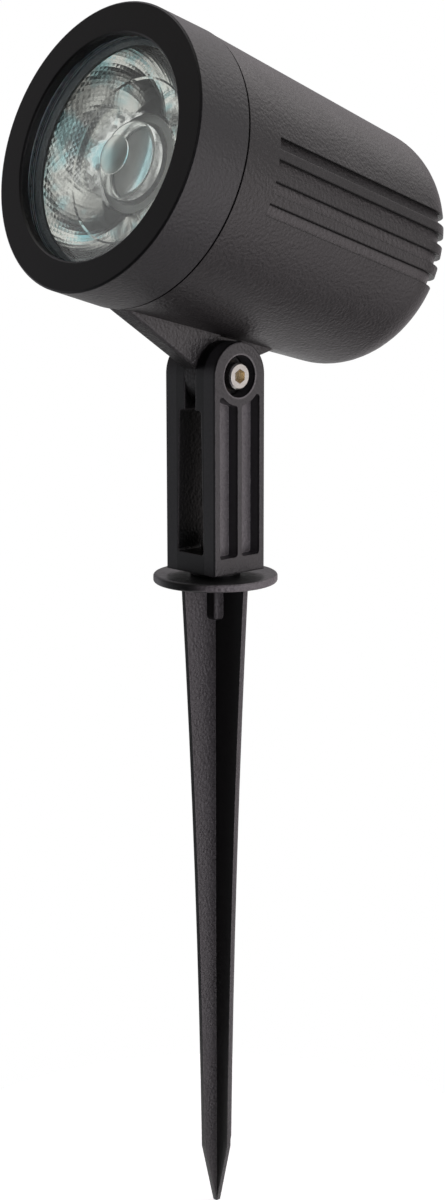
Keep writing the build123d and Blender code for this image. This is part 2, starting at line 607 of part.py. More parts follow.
def optic_lens():
    """Moulded collimating lens: a flat front with a rim, a swelling side wall, and a well at the back."""
    rim, side = OPTIC_RIM_DIAMETER / 2, OPTIC_DIAMETER / 2
    base, mouth, top = OPTIC_BASE_DIAMETER / 2, WELL_MOUTH_DIAMETER / 2, WELL_TOP_DIAMETER / 2
    nub = OPTIC_NUB_DIAMETER / 2
    nub_at = OPTIC_FRONT_AT + OPTIC_NUB_HEIGHT
    wall = Vector(base - side, OPTIC_BASE_AT - OPTIC_RIM_BACK_AT)
    swell = Vector(-wall.Y, wall.X).normalized() * OPTIC_BULGE
    wall_middle = (side + wall.X / 2 + swell.X, OPTIC_RIM_BACK_AT + wall.Y / 2 + swell.Y)
    dome_at = WELL_TOP_AT - WELL_DOME
    dome_radius = (top ** 2 + WELL_DOME ** 2) / (2 * WELL_DOME)
    half_angle = asin(top / dome_radius) / 2
    dome_middle = (dome_radius * sin(half_angle), dome_at + dome_radius * (1 - cos(half_angle)))
    outline = [
        Polyline((0, dome_at), (0, nub_at), (nub, nub_at), (nub, OPTIC_FRONT_AT), (rim, OPTIC_FRONT_AT)),
        Polyline((rim, OPTIC_FRONT_AT), (rim, OPTIC_RIM_BACK_AT), (side, OPTIC_RIM_BACK_AT)),
        ThreePointArc((side, OPTIC_RIM_BACK_AT), wall_middle, (base, OPTIC_BASE_AT)),
        Polyline((base, OPTIC_BASE_AT), (mouth, OPTIC_BASE_AT), (top, WELL_TOP_AT)),
        ThreePointArc((top, WELL_TOP_AT), dome_middle, (0, dome_at)),
    ]
    return revolve(Plane.XZ * make_face(outline), Axis.Z)


def optic_cup():
    """Cup that stands on the heat spreader and carries the optic's rim."""
    outer, bore = CUP_DIAMETER / 2, CUP_BORE / 2
    seat = outer - CUP_RIM_WALL
    opening = CLAMP_DIAMETER / 2 + CUP_TO_CLAMP
    floor_at = SPREADER_FRONT_AT + CUP_FLOOR
    cup = turned(
        (opening, SPREADER_FRONT_AT), (outer, SPREADER_FRONT_AT), (outer, OPTIC_FRONT_AT),
        (seat, OPTIC_FRONT_AT), (seat, OPTIC_RIM_BACK_AT), (bore, OPTIC_RIM_BACK_AT), (bore, floor_at),
        (opening, floor_at),
    )
    for place in screw_places():
        cup -= place * rod(CUP_SCREW_HOLE, SPREADER_FRONT_AT - 1, floor_at + 1)
    notch = LEAD_HOLE_DIAMETER / 2
    return cup - block((-notch, notch), (-LEAD_DROP - notch, 0), (SPREADER_FRONT_AT - 1, floor_at + 1))


def heat_spreader():
    """Aluminium disc on the housing's ledge, with holes for its screws, the clamp's screws and the leads."""
    disc = rod(CUP_DIAMETER, LEDGE_AT, SPREADER_FRONT_AT)
    for place in screw_places():
        disc -= place * rod(M3 + 2 * SLIP_FIT, LEDGE_AT - 1, SPREADER_FRONT_AT + 1)
    for place in on_circle(CLAMP_SCREW_SPACING, 2, 0):
        disc -= place * rod(M3, LEDGE_AT - 1, SPREADER_FRONT_AT + 1)
    return disc - Pos(0, -LEAD_DROP, 0) * rod(LEAD_HOLE_DIAMETER, LEDGE_AT - 1, SPREADER_FRONT_AT + 1)


def square_plate(side, start, end):
    """A square plate on z."""
    return block((-side / 2, side / 2), (-side / 2, side / 2), (start, end))


def led_clamp():
    """Plastic holder that presses the light source onto the spreader and takes the leads."""
    opening, outer = CLAMP_OPENING / 2, CLAMP_DIAMETER / 2
    clamp = turned(
        (opening, SPREADER_FRONT_AT), (outer, SPREADER_FRONT_AT), (outer, CLAMP_FRONT_AT),
        (opening + CLAMP_FLARE, CLAMP_FRONT_AT), (opening, LED_FRONT_AT),
    )
    clamp -= square_plate(LED_SIDE + 2 * SLIP_FIT, SPREADER_FRONT_AT - 1, LED_FRONT_AT)
    for place in on_circle(CLAMP_SCREW_SPACING, 2, 0):
        clamp -= place * rod(M3 + 2 * SLIP_FIT, SPREADER_FRONT_AT - 1, CLAMP_FRONT_AT + 1)
    return clamp


def led_leads():
    """Two insulated leads from the driver, through the spreader, to the clamp's rim."""
    leads = []
    middle_at = SPREADER_FRONT_AT + CLAMP_HEIGHT / 2
    start_height = -LEAD_DROP + LEAD_RISE
    bend_at = (DRIVER_FRONT_AT + LEDGE_AT) / 2
    for side in (-LEAD_SPACING / 2, LEAD_SPACING / 2):
        rim = -sqrt((CLAMP_DIAMETER / 2) ** 2 - (abs(side) - LEAD_DIAMETER / 2) ** 2)
        path = FilletPolyline(
            (side, start_height, DRIVER_FRONT_AT), (side, start_height, bend_at), (side, -LEAD_DROP, bend_at),
            (side, -LEAD_DROP, middle_at), (side, rim, middle_at), radius=LEAD_BEND,
        )
        start = Plane(origin=path @ 0, z_dir=path % 0)
        leads.append(sweep(start * Circle(LEAD_DIAMETER / 2), path))
    return Compound(leads)


def driver_case():
    """Closed case of the driver, with rounded long edges."""
    half = DRIVER_WIDTH / 2
    span = (DRIVER_FRONT_AT - DRIVER_LENGTH, DRIVER_FRONT_AT)
    case = block((-half, half), (DRIVER_FOOT, DRIVER_FOOT + DRIVER_HEIGHT), span)
    return fillet(case.edges().filter_by(Axis.Z), DRIVER_ROUND)


def driver_pad():
    """Soft pad that fills the space between the driver and the cavity's wall."""
    half = DRIVER_PAD_WIDTH / 2
    middle_at = DRIVER_FRONT_AT - DRIVER_LENGTH / 2
    span = (middle_at - DRIVER_PAD_LENGTH / 2, middle_at + DRIVER_PAD_LENGTH / 2)
    return block((-half, half), (-HOUSING_DIAMETER, DRIVER_FOOT), span) & cavity_form(SLIP_FIT)


def gland_flange_back():
    """Where the gland's hexagon starts, behind its washer."""
    return REAR_AT - GLAND_WASHER_THICKNESS


def gland_body():
    """Hexagon body with a thread through the rear wall and a neck for the cap."""
    hex_front = gland_flange_back()
    hex_back = hex_front - GLAND_FLANGE_HEIGHT
    body = hexagon(GLAND_FLATS, hex_back, hex_front)
    thread_front = CAVITY_REAR_AT + GLAND_LOCKNUT_HEIGHT + 1
    body += rod(GLAND_THREAD, hex_front, thread_front)
    body += rod(GLAND_NECK_DIAMETER, hex_back - GLAND_NECK_LENGTH, hex_back)
    body -= rod(GLAND_CABLE_BORE, hex_back - GLAND_NECK_LENGTH - 1, thread_front + 1)
    return body - rod(GLAND_SEAL_DIAMETER, hex_back - GLAND_NECK_LENGTH - 1, hex_back)


def gland_washer():
    """Flat seal between the gland and the rear face."""
    return ring(GLAND_WASHER_DIAMETER, GLAND_THREAD, gland_flange_back(), REAR_AT)


def gland_locknut():
    """Hexagon nut on the gland's thread, inside the housing."""
    nut = hexagon(GLAND_FLATS, CAVITY_REAR_AT, CAVITY_REAR_AT + GLAND_LOCKNUT_HEIGHT)
    return nut - rod(GLAND_THREAD, CAVITY_REAR_AT - 1, CAVITY_REAR_AT + GLAND_LOCKNUT_HEIGHT + 1)


def gland_seal():
    """Rubber bush that grips the cable in the gland's neck."""
    back = gland_flange_back() - GLAND_FLANGE_HEIGHT
    return ring(GLAND_SEAL_DIAMETER, GLAND_CABLE_BORE, back - GLAND_NECK_LENGTH, back)


def gland_cap():
    """Domed compression cap over the neck, open for the cable."""
    front = gland_flange_back() - GLAND_FLANGE_HEIGHT
    back = front - GLAND_CAP_HEIGHT
    cap = hexagon(GLAND_FLATS, back, front)
    cap &= fillet(rod(GLAND_CAP_DIAMETER, back, front).edges().sort_by(Axis.Z)[0], GLAND_CAP_ROUND)
    cap -= rod(GLAND_NECK_DIAMETER, front - GLAND_NECK_LENGTH, front + 1)
    return cap - rod(GLAND_CABLE_BORE, back - 1, front + 1)


# ---------------------------------------------------------------- assembly

os.makedirs("parts", exist_ok=True)

WORLD_PIECES = {
    "ground_spike": ground_spike, "swivel_insert": swivel_insert, "swivel_washer": swivel_washer,
    "spring_washer": spring_washer, "swivel_bolt": swivel_bolt, "yoke": yoke, "pivot_bolt": pivot_bolt,
    "pivot_washer": pivot_washer, "pivot_nut": pivot_nut,
}
for name, piece in WORLD_PIECES.items():
    write(name, piece())

HEAD_PIECES = {
    "head_housing": head_housing, "front_bezel": front_bezel, "bezel_o_ring": bezel_o_ring,
    "front_glass": front_glass, "glass_gasket": glass_gasket, "optic_ring": optic_ring,
    "optic_lens": optic_lens, "optic_cup": optic_cup, "heat_spreader": heat_spreader,
    "led_clamp": led_clamp, "led_leads": led_leads, "driver_case": driver_case, "driver_pad": driver_pad,
    "gland_body": gland_body, "gland_washer": gland_washer, "gland_locknut": gland_locknut,
    "gland_seal": gland_seal, "gland_cap": gland_cap,
}
for name, piece in HEAD_PIECES.items():
    write(name, HEAD.location * piece())

write("thermal_pad", HEAD.location * square_plate(LED_SIDE, SPREADER_FRONT_AT, LED_BACK_AT))
write("led_substrate", HEAD.location * square_plate(LED_SIDE, LED_BACK_AT, LED_FRONT_AT))
write("led_phosphor", HEAD.location * rod(PHOSPHOR_DIAMETER, LED_FRONT_AT, LED_FRONT_AT + PHOSPHOR_THICKNESS))

spreader_screw = pan_screw(SPREADER_FRONT_AT, LEDGE_AT - SPREADER_SCREW_REACH)
write("spreader_screws", HEAD.location * Compound([place * spreader_screw for place in screw_places()]))
clamp_screw = pan_screw(CLAMP_FRONT_AT, LEDGE_AT)
clamp_places = on_circle(CLAMP_SCREW_SPACING, 2, 0)
write("clamp_screws", HEAD.location * Compound([place * clamp_screw for place in clamp_places]))
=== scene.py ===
"""Garden spike spotlight: its finishes, faceted optic, light source, studio and camera.

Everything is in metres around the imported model: the origin is the centre of the flange's underside,
+Z is up, X is the tilt axis with the pivot screw's head on +X, and the lamp shines towards -Y.
"""

import math

import bmesh
import bpy
from mathutils import Matrix, Vector


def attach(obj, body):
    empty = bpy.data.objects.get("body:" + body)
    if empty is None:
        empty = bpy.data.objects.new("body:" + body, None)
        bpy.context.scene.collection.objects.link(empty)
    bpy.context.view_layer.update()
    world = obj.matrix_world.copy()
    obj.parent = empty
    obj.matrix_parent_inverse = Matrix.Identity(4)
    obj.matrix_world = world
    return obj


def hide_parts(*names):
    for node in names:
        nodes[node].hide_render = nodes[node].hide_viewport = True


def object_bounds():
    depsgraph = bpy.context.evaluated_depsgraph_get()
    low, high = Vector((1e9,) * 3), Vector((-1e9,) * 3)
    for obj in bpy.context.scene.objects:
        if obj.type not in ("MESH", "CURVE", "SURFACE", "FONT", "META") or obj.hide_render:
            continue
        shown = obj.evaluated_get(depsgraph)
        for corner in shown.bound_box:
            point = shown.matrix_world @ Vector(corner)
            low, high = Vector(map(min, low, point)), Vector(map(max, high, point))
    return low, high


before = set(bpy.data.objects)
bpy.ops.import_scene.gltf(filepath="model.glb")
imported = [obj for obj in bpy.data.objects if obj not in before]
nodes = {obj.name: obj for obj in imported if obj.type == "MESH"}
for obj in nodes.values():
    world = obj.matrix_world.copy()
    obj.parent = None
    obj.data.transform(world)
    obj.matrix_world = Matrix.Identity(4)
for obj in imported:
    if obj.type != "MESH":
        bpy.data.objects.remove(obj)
cad_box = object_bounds()

# ---------------------------------------------------------------- camera
# A 63 mm lens about two thirds of a metre from the lamp, a little above the pivot and 47 degrees round
# from the lamp's own direction towards +X, looking slightly down.
CAMERA_AT = (0.48393, -0.44505, 0.13241)
HEADING, PITCH, ROLL = math.radians(47.2), math.radians(11.91), math.radians(-0.08)

scene = bpy.context.scene
camera_data = bpy.data.cameras.new("camera")
camera_data.lens = 62.565
camera_data.sensor_width = 36.0
camera_data.clip_start = 0.01
camera = bpy.data.objects.new("camera", camera_data)
scene.collection.objects.link(camera)
look = Vector((-math.sin(HEADING) * math.cos(PITCH), math.cos(HEADING) * math.cos(PITCH), -math.sin(PITCH)))
level = Vector((math.cos(HEADING), math.sin(HEADING), 0.0))
upright = level.cross(look)
right = math.cos(ROLL) * level + math.sin(ROLL) * upright
above = math.cos(ROLL) * upright - math.sin(ROLL) * level
camera.matrix_world = Matrix((
    (right.x, above.x, -look.x, CAMERA_AT[0]),
    (right.y, above.y, -look.y, CAMERA_AT[1]),
    (right.z, above.z, -look.z, CAMERA_AT[2]),
    (0, 0, 0, 1),
))
scene.camera = camera
scene.view_settings.view_transform = "Standard"

# ---------------------------------------------------------------- studio light
# Soft boxes in a dark studio: a large one on the right, a bank over and behind the lamp, weaker ones on
# the left, and a white backdrop. The black finishes are drawn by what they reflect of them, the optic by
# the white room that it mirrors, broken by dark flags and dimmer towards the ceiling.
SOFT_BOX_SPREAD = math.radians(42)      # from a soft box's middle to where its light has faded out
SOFT_BOXES = (                          # azimuth, elevation, brightness
    (0, 0, (1.57, 1.54, 1.62)),
    (32, -18, (1.17, 1.08, 1.07)),
    (0, -32, (0.64, 0.60, 0.68)),
    (0, 32, (0.19, 0.17, 0.21)),
    (90, 58, (1.16, 1.13, 1.10)),
    (148, 54, (0.63, 0.61, 0.67)),
    (-148, 54, (0.23, 0.22, 0.20)),
    (0, 90, (0.20, 0.20, 0.19)),
    (111, 30, (0.55, 0.50, 0.52)),
    (69, 30, (0.39, 0.39, 0.39)),
    (111, -30, (0.74, 0.69, 0.71)),
    (180, 0, (0.57, 0.54, 0.58)),
    (-148, -18, (0.29, 0.30, 0.31)),
)
BACKDROP_SPREAD = math.radians(8), math.radians(24)     # where its white starts to fade, and where it ends
SWEEP_MIDDLE, SWEEP_WHITE = (-0.47, 0.44, -0.77), 0.45  # the backdrop's sweep under the lamp
SWEEP_SPREAD = math.radians(3), math.radians(26)
CEILING_MIDDLE, CEILING_WHITE = (-0.1, -0.2, 1.0), 0.36
CEILING_SPREAD = math.radians(5), math.radians(60)
FLAG_SCALE, FLAG_WHITE = 3.6, 0.15      # flags are where the room's noise is low, with soft edges
FLAG_EDGE = 0.385, 0.525


def add(tree, kind, inputs=None, **settings):
    """Adds a node, sets its options, and sets or links its inputs by name or number."""
    node = tree.nodes.new(kind)
    for name, value in settings.items():
        setattr(node, name, value)
    for name, value in (inputs or {}).items():
        if isinstance(value, bpy.types.NodeSocket):
            tree.links.new(value, node.inputs[name])
        else:
            node.inputs[name].default_value = value
    return node


def math_node(tree, operation, *values):
    """One Math node's result."""
    return add(tree, "ShaderNodeMath", dict(enumerate(values)), operation=operation).outputs[0]


def vector_node(tree, operation, *values, output=0, **inputs):
    """One Vector Math node's result."""
    inputs.update(enumerate(values))
    return add(tree, "ShaderNodeVectorMath", inputs, operation=operation).outputs[output]


def product_of(tree, *values):
    """Multiplies values by one another."""
    total = values[0]
    for value in values[1:]:
        total = math_node(tree, "MULTIPLY", total, value)
    return total


def ranged(tree, value, low, high, start=0.0, end=1.0, **settings):
    """Goes from low to high as a value goes from start to end."""
    return add(tree, "ShaderNodeMapRange", {
        "Value": value, "From Min": start, "From Max": end, "To Min": low, "To Max": high,
    }, **settings).outputs["Result"]


def mixed(tree, factor, one, two, blend_type="MIX"):
    """A colour that goes from one to two as a factor goes from zero to one."""
    return add(tree, "ShaderNodeMix", {
        "Factor": factor, 6: one, 7: two,
    }, data_type="RGBA", blend_type=blend_type).outputs[2]


def noise(tree, place, scale, detail=2.0, roughness=0.5):
    """A Noise Texture's value at a place."""
    return add(tree, "ShaderNodeTexNoise", {
        "Vector": place, "Scale": scale, "Detail": detail, "Roughness": roughness,
    }).outputs["Fac"]


studio = bpy.data.worlds.new("studio")
scene.world = studio
studio.use_nodes = True
tree = studio.node_tree
tree.nodes.clear()
direction = add(tree, "ShaderNodeTexCoord").outputs["Generated"]


def facing(middle, inner, outer):
    """One towards a direction, fading to zero between two angles from it."""
    towards = vector_node(tree, "DOT_PRODUCT", direction, middle, output="Value")
    return ranged(tree, towards, 0.0, 1.0, math.cos(outer), math.cos(inner), interpolation_type="SMOOTHSTEP")


brightness = (0.0, 0.0, 0.0)
for azimuth, elevation, colour in SOFT_BOXES:
    azimuth, elevation = math.radians(azimuth), math.radians(elevation)
    outwards = math.cos(elevation)
    middle = (math.cos(azimuth) * outwards, math.sin(azimuth) * outwards, math.sin(elevation))
    box = vector_node(tree, "SCALE", colour, Scale=facing(middle, 0, SOFT_BOX_SPREAD))
    brightness = vector_node(tree, "ADD", brightness, box)
rays = add(tree, "ShaderNodeLightPath").outputs
sweep = product_of(tree, facing(SWEEP_MIDDLE, *SWEEP_SPREAD), SWEEP_WHITE)
backdrop = math_node(tree, "MAXIMUM", facing(look, *BACKDROP_SPREAD), sweep)
white = math_node(tree, "MAXIMUM", rays["Is Camera Ray"], product_of(tree, rays["Is Glossy Ray"], backdrop))
surroundings = mixed(tree, white, brightness, (1, 1, 1, 1))
room = ranged(tree, facing(CEILING_MIDDLE, *CEILING_SPREAD), 1.0, CEILING_WHITE)
flags = ranged(tree, noise(tree, direction, FLAG_SCALE, detail=1.0), FLAG_WHITE, 1.0, *FLAG_EDGE)
seen = mixed(tree, rays["Is Transmission Ray"], surroundings, product_of(tree, room, flags))
background = add(tree, "ShaderNodeBackground", {"Color": seen})
add(tree, "ShaderNodeOutputWorld", {"Surface": background.outputs[0]})

# ---------------------------------------------------------------- floor
# A pale round table just under the spike's tip. It glows white towards the camera like the backdrop, and
# what it lacks of that where the spike keeps the light off is the spike's shadow.
FLOOR_RADIUS = 0.12
FLOOR_THICKNESS = 0.0002
FLOOR_BELOW_TIP = 0.0006
FLOOR_SIDES = 96
FLOOR_GLOW = 0.55
FLOOR_CLOUDS, FLOOR_PAINT = 60.0, (0.86, 0.88)  # the paint's drift: clouds to a metre, darkest and palest


def turned(form, outline, segments):
    """Adds a surface of revolution to a bmesh from (radius, height) points, and gives back its faces."""
    rings = []
    for radius, height in outline:
        if radius == 0:
            rings.append([form.verts.new((0, 0, height))] * segments)
            continue
        angles = [2 * math.pi * i / segments for i in range(segments)]
        rings.append([form.verts.new((radius * math.cos(a), radius * math.sin(a), height)) for a in angles])
    faces = []
    for one, two in zip(rings, rings[1:]):
        for i in range(segments):
            corners = [one[i], one[(i + 1) % segments], two[(i + 1) % segments], two[i]]
            corners = [c for k, c in enumerate(corners) if c is not corners[k - 1]]
            faces.append(form.faces.new(corners))
    return faces


def as_object(form, name, *materials):
    """Turns a bmesh into an object at the origin, its faces pointing outwards."""
    bmesh.ops.recalc_face_normals(form, faces=form.faces)
    mesh = bpy.data.meshes.new(name)
    form.to_mesh(mesh)
    form.free()
    for material in materials:
        mesh.materials.append(material)
    piece = bpy.data.objects.new(name, mesh)
    scene.collection.objects.link(piece)
    return piece


def own_place(tree):
    """Object coordinates."""
    return add(tree, "ShaderNodeTexCoord").outputs["Object"]


floor_finish = bpy.data.materials.new("pale_table")
floor_finish.use_nodes = True
tree = floor_finish.node_tree
tree.nodes.clear()
paint = ranged(tree, noise(tree, own_place(tree), FLOOR_CLOUDS), *FLOOR_PAINT)
matt = add(tree, "ShaderNodeBsdfDiffuse", {"Color": paint})
rays = add(tree, "ShaderNodeLightPath").outputs
seen = math_node(tree, "MAXIMUM", rays["Is Glossy Ray"], rays["Is Transmission Ray"])
seen = math_node(tree, "MAXIMUM", rays["Is Camera Ray"], seen)
glow = add(tree, "ShaderNodeEmission", {"Strength": product_of(tree, seen, FLOOR_GLOW)})
surface = add(tree, "ShaderNodeAddShader", {0: matt.outputs[0], 1: glow.outputs[0]})
add(tree, "ShaderNodeOutputMaterial", {"Surface": surface.outputs[0]})
form = bmesh.new()
floor_top = cad_box[0][2] - FLOOR_BELOW_TIP
floor_bottom = floor_top - FLOOR_THICKNESS
outline = [(0, floor_top), (FLOOR_RADIUS, floor_top), (FLOOR_RADIUS, floor_bottom), (0, floor_bottom)]
turned(form, outline, FLOOR_SIDES)
floor = as_object(form, "pale_table", floor_finish)

# ---------------------------------------------------------------- ground spike
# One moulding in black glass-filled nylon: flange, cross of two tapering plates and the boss under the
# flange. The mould's faces along X are spark-textured, those along Y came off polished steel, and the
# flange's rim carries a painted highlight, coloured paler. It stands in the ground up to the flange.
SPARK_GRAIN = 0.00105
SPARK_DEPTH = 0.00052
FLANGE_RIM, RIM_HIGHLIGHT = 0.0194, 2.2     # radius from which the rim is painted paler as a painted highlight, and how many times


def shared_group(name, inputs, outputs):
    """A new shader node group with named float or vector sockets, its inputs and its output node."""
    group = bpy.data.node_groups.new(name, "ShaderNodeTree")
    kinds = {"f": "NodeSocketFloat", "v": "NodeSocketVector"}
    for label, kind, value in inputs:
        socket = group.interface.new_socket(label, in_out="INPUT", socket_type=kinds[kind])
        socket.default_value = value
    for label, kind in outputs:
        group.interface.new_socket(label, in_out="OUTPUT", socket_type=kinds[kind])
    return group, group.nodes.new("NodeGroupInput").outputs, group.nodes.new("NodeGroupOutput").inputs


def placed_group(tree, group, **values):
    """Places a shared group in a tree with its own values, and gives back its outputs."""
    node = add(tree, "ShaderNodeGroup", node_tree=group)
    for name, value in values.items():
        node.inputs[name].default_value = value
    return node.outputs


# Rounded edges: a mask of where a face turns over an edge, and a rounded normal there that catches the light.
# Where the mask is used it pales the colour, partly as wear and partly as a painted highlight.
edge_catch, given, result = shared_group(
    "edge_catch", [("Radius", "f", 0.0004), ("Gain", "f", 6.0)], [("Mask", "f"), ("Normal", "v")],
)
rounded = add(edge_catch, "ShaderNodeBevel", {"Radius": given["Radius"]}, samples=4).outputs["Normal"]
flat = add(edge_catch, "ShaderNodeNewGeometry").outputs["Normal"]
turn = vector_node(edge_catch, "DOT_PRODUCT", rounded, flat, output="Value")
turn = math_node(edge_catch, "SUBTRACT", 1.0, turn)
turn = add(edge_catch, "ShaderNodeClamp", {"Value": product_of(edge_catch, turn, given["Gain"])}).outputs[0]
edge_catch.links.new(turn, result["Mask"])
edge_catch.links.new(rounded, result["Normal"])

# Surface grain: rounded pips of one size, broken up by finer noise, with slow drifts in shade and gloss.
DRIFT_SCALE, FLECKS_TO_DRIFT = 55.0, 3.0

surface_grain, given, result = shared_group(
    "surface_grain",
    [("Size", "f", 0.0005), ("Softness", "f", 0.5), ("Drift", "f", 0.15), ("Seed", "f", 0.0)],
    [("Height", "f"), ("Shade", "f"), ("Gloss", "f")],
)
place = vector_node(surface_grain, "ADD", own_place(surface_grain), given["Seed"])
fineness = math_node(surface_grain, "DIVIDE", 1.0, given["Size"])
pips = add(surface_grain, "ShaderNodeTexVoronoi", {
    "Vector": place, "Scale": fineness, "Smoothness": 0.6,
}, feature="SMOOTH_F1").outputs["Distance"]
crumb = noise(surface_grain, place, fineness, detail=3.0, roughness=0.65)
height = add(surface_grain, "ShaderNodeMix", {"Factor": given["Softness"], 2: pips, 3: crumb}).outputs[0]
drift = noise(surface_grain, place, DRIFT_SCALE, detail=4.0, roughness=0.6)
swing, fleck = (
    product_of(surface_grain, math_node(surface_grain, "SUBTRACT", value, 0.5), given["Drift"])
    for value in (drift, crumb)
)
shade = math_node(surface_grain, "ADD", swing, product_of(surface_grain, fleck, FLECKS_TO_DRIFT))
surface_grain.links.new(height, result["Height"])
surface_grain.links.new(math_node(surface_grain, "ADD", 1.0, shade), result["Shade"])
surface_grain.links.new(math_node(surface_grain, "ADD", swing, fleck), result["Gloss"])


def new_finish(name, colour, roughness, **constants):
    """A Principled material with what is the same all over set on the shader's own sockets."""
    material = bpy.data.materials.new(name)
    material.use_nodes = True
    shader = material.node_tree.nodes["Principled BSDF"]
    shader.inputs["Base Color"].default_value = (*colour, 1)
    shader.inputs["Roughness"].default_value = roughness
    for key, value in constants.items():
        shader.inputs[key.replace("_", " ")].default_value = value
    return material


def driven(material, socket, value=None):
    """What drives one of a material's sockets now, after linking a new value to it where one is given."""
    tree = material.node_tree
    socket = tree.nodes["Principled BSDF"].inputs[socket]
    if value is not None:
        tree.links.new(value, socket)
    if socket.is_linked:
        return socket.links[0].from_socket
    constant = socket.default_value
    return constant if isinstance(constant, float) else tuple(constant)


def scaled_colour(material, factor):
    """Multiplies whatever drives a material's colour by a factor."""
    before = driven(material, "Base Color")
    driven(material, "Base Color", mixed(material.node_tree, 1.0, before, factor, "MULTIPLY"))


def grained(
    material, size, depth, softness=0.5, drift=0.15, edge=0.0004, edge_wear_and_highlight=0.5, seed=0.0, raised=None,
):
    """Gives a material the shared grain, as deep as raised says, and rounded edges that are paler, partly as
    wear and partly as a painted highlight, over its own colour.
    """
    tree = material.node_tree
    grain = placed_group(tree, surface_grain, Size=size, Softness=softness, Drift=drift, Seed=seed)
    edges = placed_group(tree, edge_catch, Radius=edge)
    # Paler edges: partly wear, partly a painted highlight.
    paler = ranged(tree, edges["Mask"], 1.0, 1.0 + edge_wear_and_highlight)
    scaled_colour(material, product_of(tree, paler, grain["Shade"]))
    driven(material, "Roughness", math_node(tree, "ADD", driven(material, "Roughness"), grain["Gloss"]))
    height = grain["Height"] if raised is None else product_of(tree, grain["Height"], raised)
    driven(material, "Normal", add(tree, "ShaderNodeBump", {
        "Strength": 1.0, "Distance": depth, "Height": height, "Normal": edges["Normal"],
    }).outputs["Normal"])
    return material


def cover(material, *names):
    """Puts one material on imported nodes."""
    for name in names:
        nodes[name].data.materials.clear()
        nodes[name].data.materials.append(material)


def parts_of(tree, vector):
    """A vector's X, Y and Z."""
    return add(tree, "ShaderNodeSeparateXYZ", {0: vector}).outputs


def distance(tree, one, two):
    """How far two coordinates together are from zero."""
    squares = [math_node(tree, "POWER", value, 2.0) for value in (one, two)]
    return math_node(tree, "SQRT", math_node(tree, "ADD", *squares))


def within(tree, size, reach, fade=0.0003):
    """One where a coordinate lies less than a reach from zero, either way."""
    return ranged(tree, math_node(tree, "ABSOLUTE", size), 1.0, 0.0, reach - fade, reach)


# Mould sides: one on faces that look along X, where the tool was spark-eroded.
mould_sides, given, result = shared_group(
    "mould_sides", [("From", "f", 0.35), ("To", "f", 0.7)], [("Mask", "f")],
)
way = parts_of(mould_sides, add(mould_sides, "ShaderNodeTexCoord").outputs["Normal"])["X"]
way = math_node(mould_sides, "ABSOLUTE", way)
way = ranged(mould_sides, way, 0.0, 1.0, given["From"], given["To"], interpolation_type="SMOOTHSTEP")
mould_sides.links.new(way, result["Mask"])

POLISHED_GRAIN = 0.06                   # share of the grain's depth that is left on a polished face


def spark_textured(name, textured, polished, rough, smooth, size, depth, seed):
    """Moulded nylon whose faces along X are spark-textured and whose other faces are plain."""
    material = new_finish(name, polished, smooth, Specular_IOR_Level=0.5)
    tree = material.node_tree
    side = placed_group(tree, mould_sides)["Mask"]
    driven(material, "Base Color", mixed(tree, side, (*polished, 1), (*textured, 1)))
    driven(material, "Roughness", ranged(tree, side, smooth, rough))
    raised = ranged(tree, side, POLISHED_GRAIN, 1.0)
    return grained(material, size, depth, drift=0.34, edge=0.0005, edge_wear_and_highlight=2.2, seed=seed, raised=raised)


spike_nylon = spark_textured(
    "spike_nylon", textured=(0.058, 0.053, 0.055), polished=(0.008, 0.008, 0.008), rough=0.52, smooth=0.38,
    size=SPARK_GRAIN, depth=SPARK_DEPTH, seed=0.0,
)
tree = spike_nylon.node_tree
place = parts_of(tree, own_place(tree))
# Painted highlight: outside FLANGE_RIM the flange's rim is coloured paler.
inner = within(tree, distance(tree, place["X"], place["Y"]), FLANGE_RIM)
scaled_colour(spike_nylon, ranged(tree, inner, RIM_HIGHLIGHT, 1.0))
cover(spike_nylon, "ground_spike")

# ---------------------------------------------------------------- swivel: insert, washers and bolt
# A knurled brass insert in the boss takes a stainless hexagon bolt, which clamps the yoke on a nylon
# washer through a split spring washer. Turned from bar, so the marks run round the bolt's axis.
BAR_MARKS, BAR_STAIN = 9000.0, 500.0    # marks and stains to a metre
BAR_EDGE = 0.00015                      # how far a turned piece's edges are rounded
MARK_DEPTH, MARK_STRENGTH = 0.00002, 0.6
UPRIGHT = (0, 0, 1)

turning_marks, given, result = shared_group(
    "turning_marks", [("Axis", "v", UPRIGHT), ("Centre", "v", (0, 0, 0)), ("Fineness", "f", BAR_MARKS)],
    [("Marks", "f"), ("Stain", "f")],
)
place = vector_node(turning_marks, "SUBTRACT", own_place(turning_marks), given["Centre"])
along = vector_node(turning_marks, "DOT_PRODUCT", place, given["Axis"], output="Value")
on_axis = vector_node(turning_marks, "SCALE", given["Axis"], Scale=along)
radius = vector_node(turning_marks, "DISTANCE", place, on_axis, output="Value")
marks = add(turning_marks, "ShaderNodeTexNoise", {
    "W": math_node(turning_marks, "ADD", radius, along), "Scale": given["Fineness"], "Detail": 2.0,
}, noise_dimensions="1D").outputs["Fac"]
turning_marks.links.new(marks, result["Marks"])
turning_marks.links.new(noise(turning_marks, place, BAR_STAIN, detail=3.0), result["Stain"])


def turned_metal(name, colour, roughness, axis, centre=(0, 0, 0)):
    """Bare metal with fine turning marks round one axis through a centre."""
    material = new_finish(name, colour, roughness, Metallic=1.0)
    tree = material.node_tree
    turning = placed_group(tree, turning_marks, Axis=axis, Centre=centre)
    scaled_colour(material, ranged(tree, turning["Stain"], 0.82, 1.12))
    driven(material, "Roughness", ranged(tree, turning["Marks"], roughness * 0.8, roughness * 1.3))
    edges = placed_group(tree, edge_catch, Radius=BAR_EDGE)
    driven(material, "Normal", add(tree, "ShaderNodeBump", {
        "Strength": MARK_STRENGTH, "Distance": MARK_DEPTH, "Height": turning["Marks"],
        "Normal": edges["Normal"],
    }).outputs["Normal"])
    return material


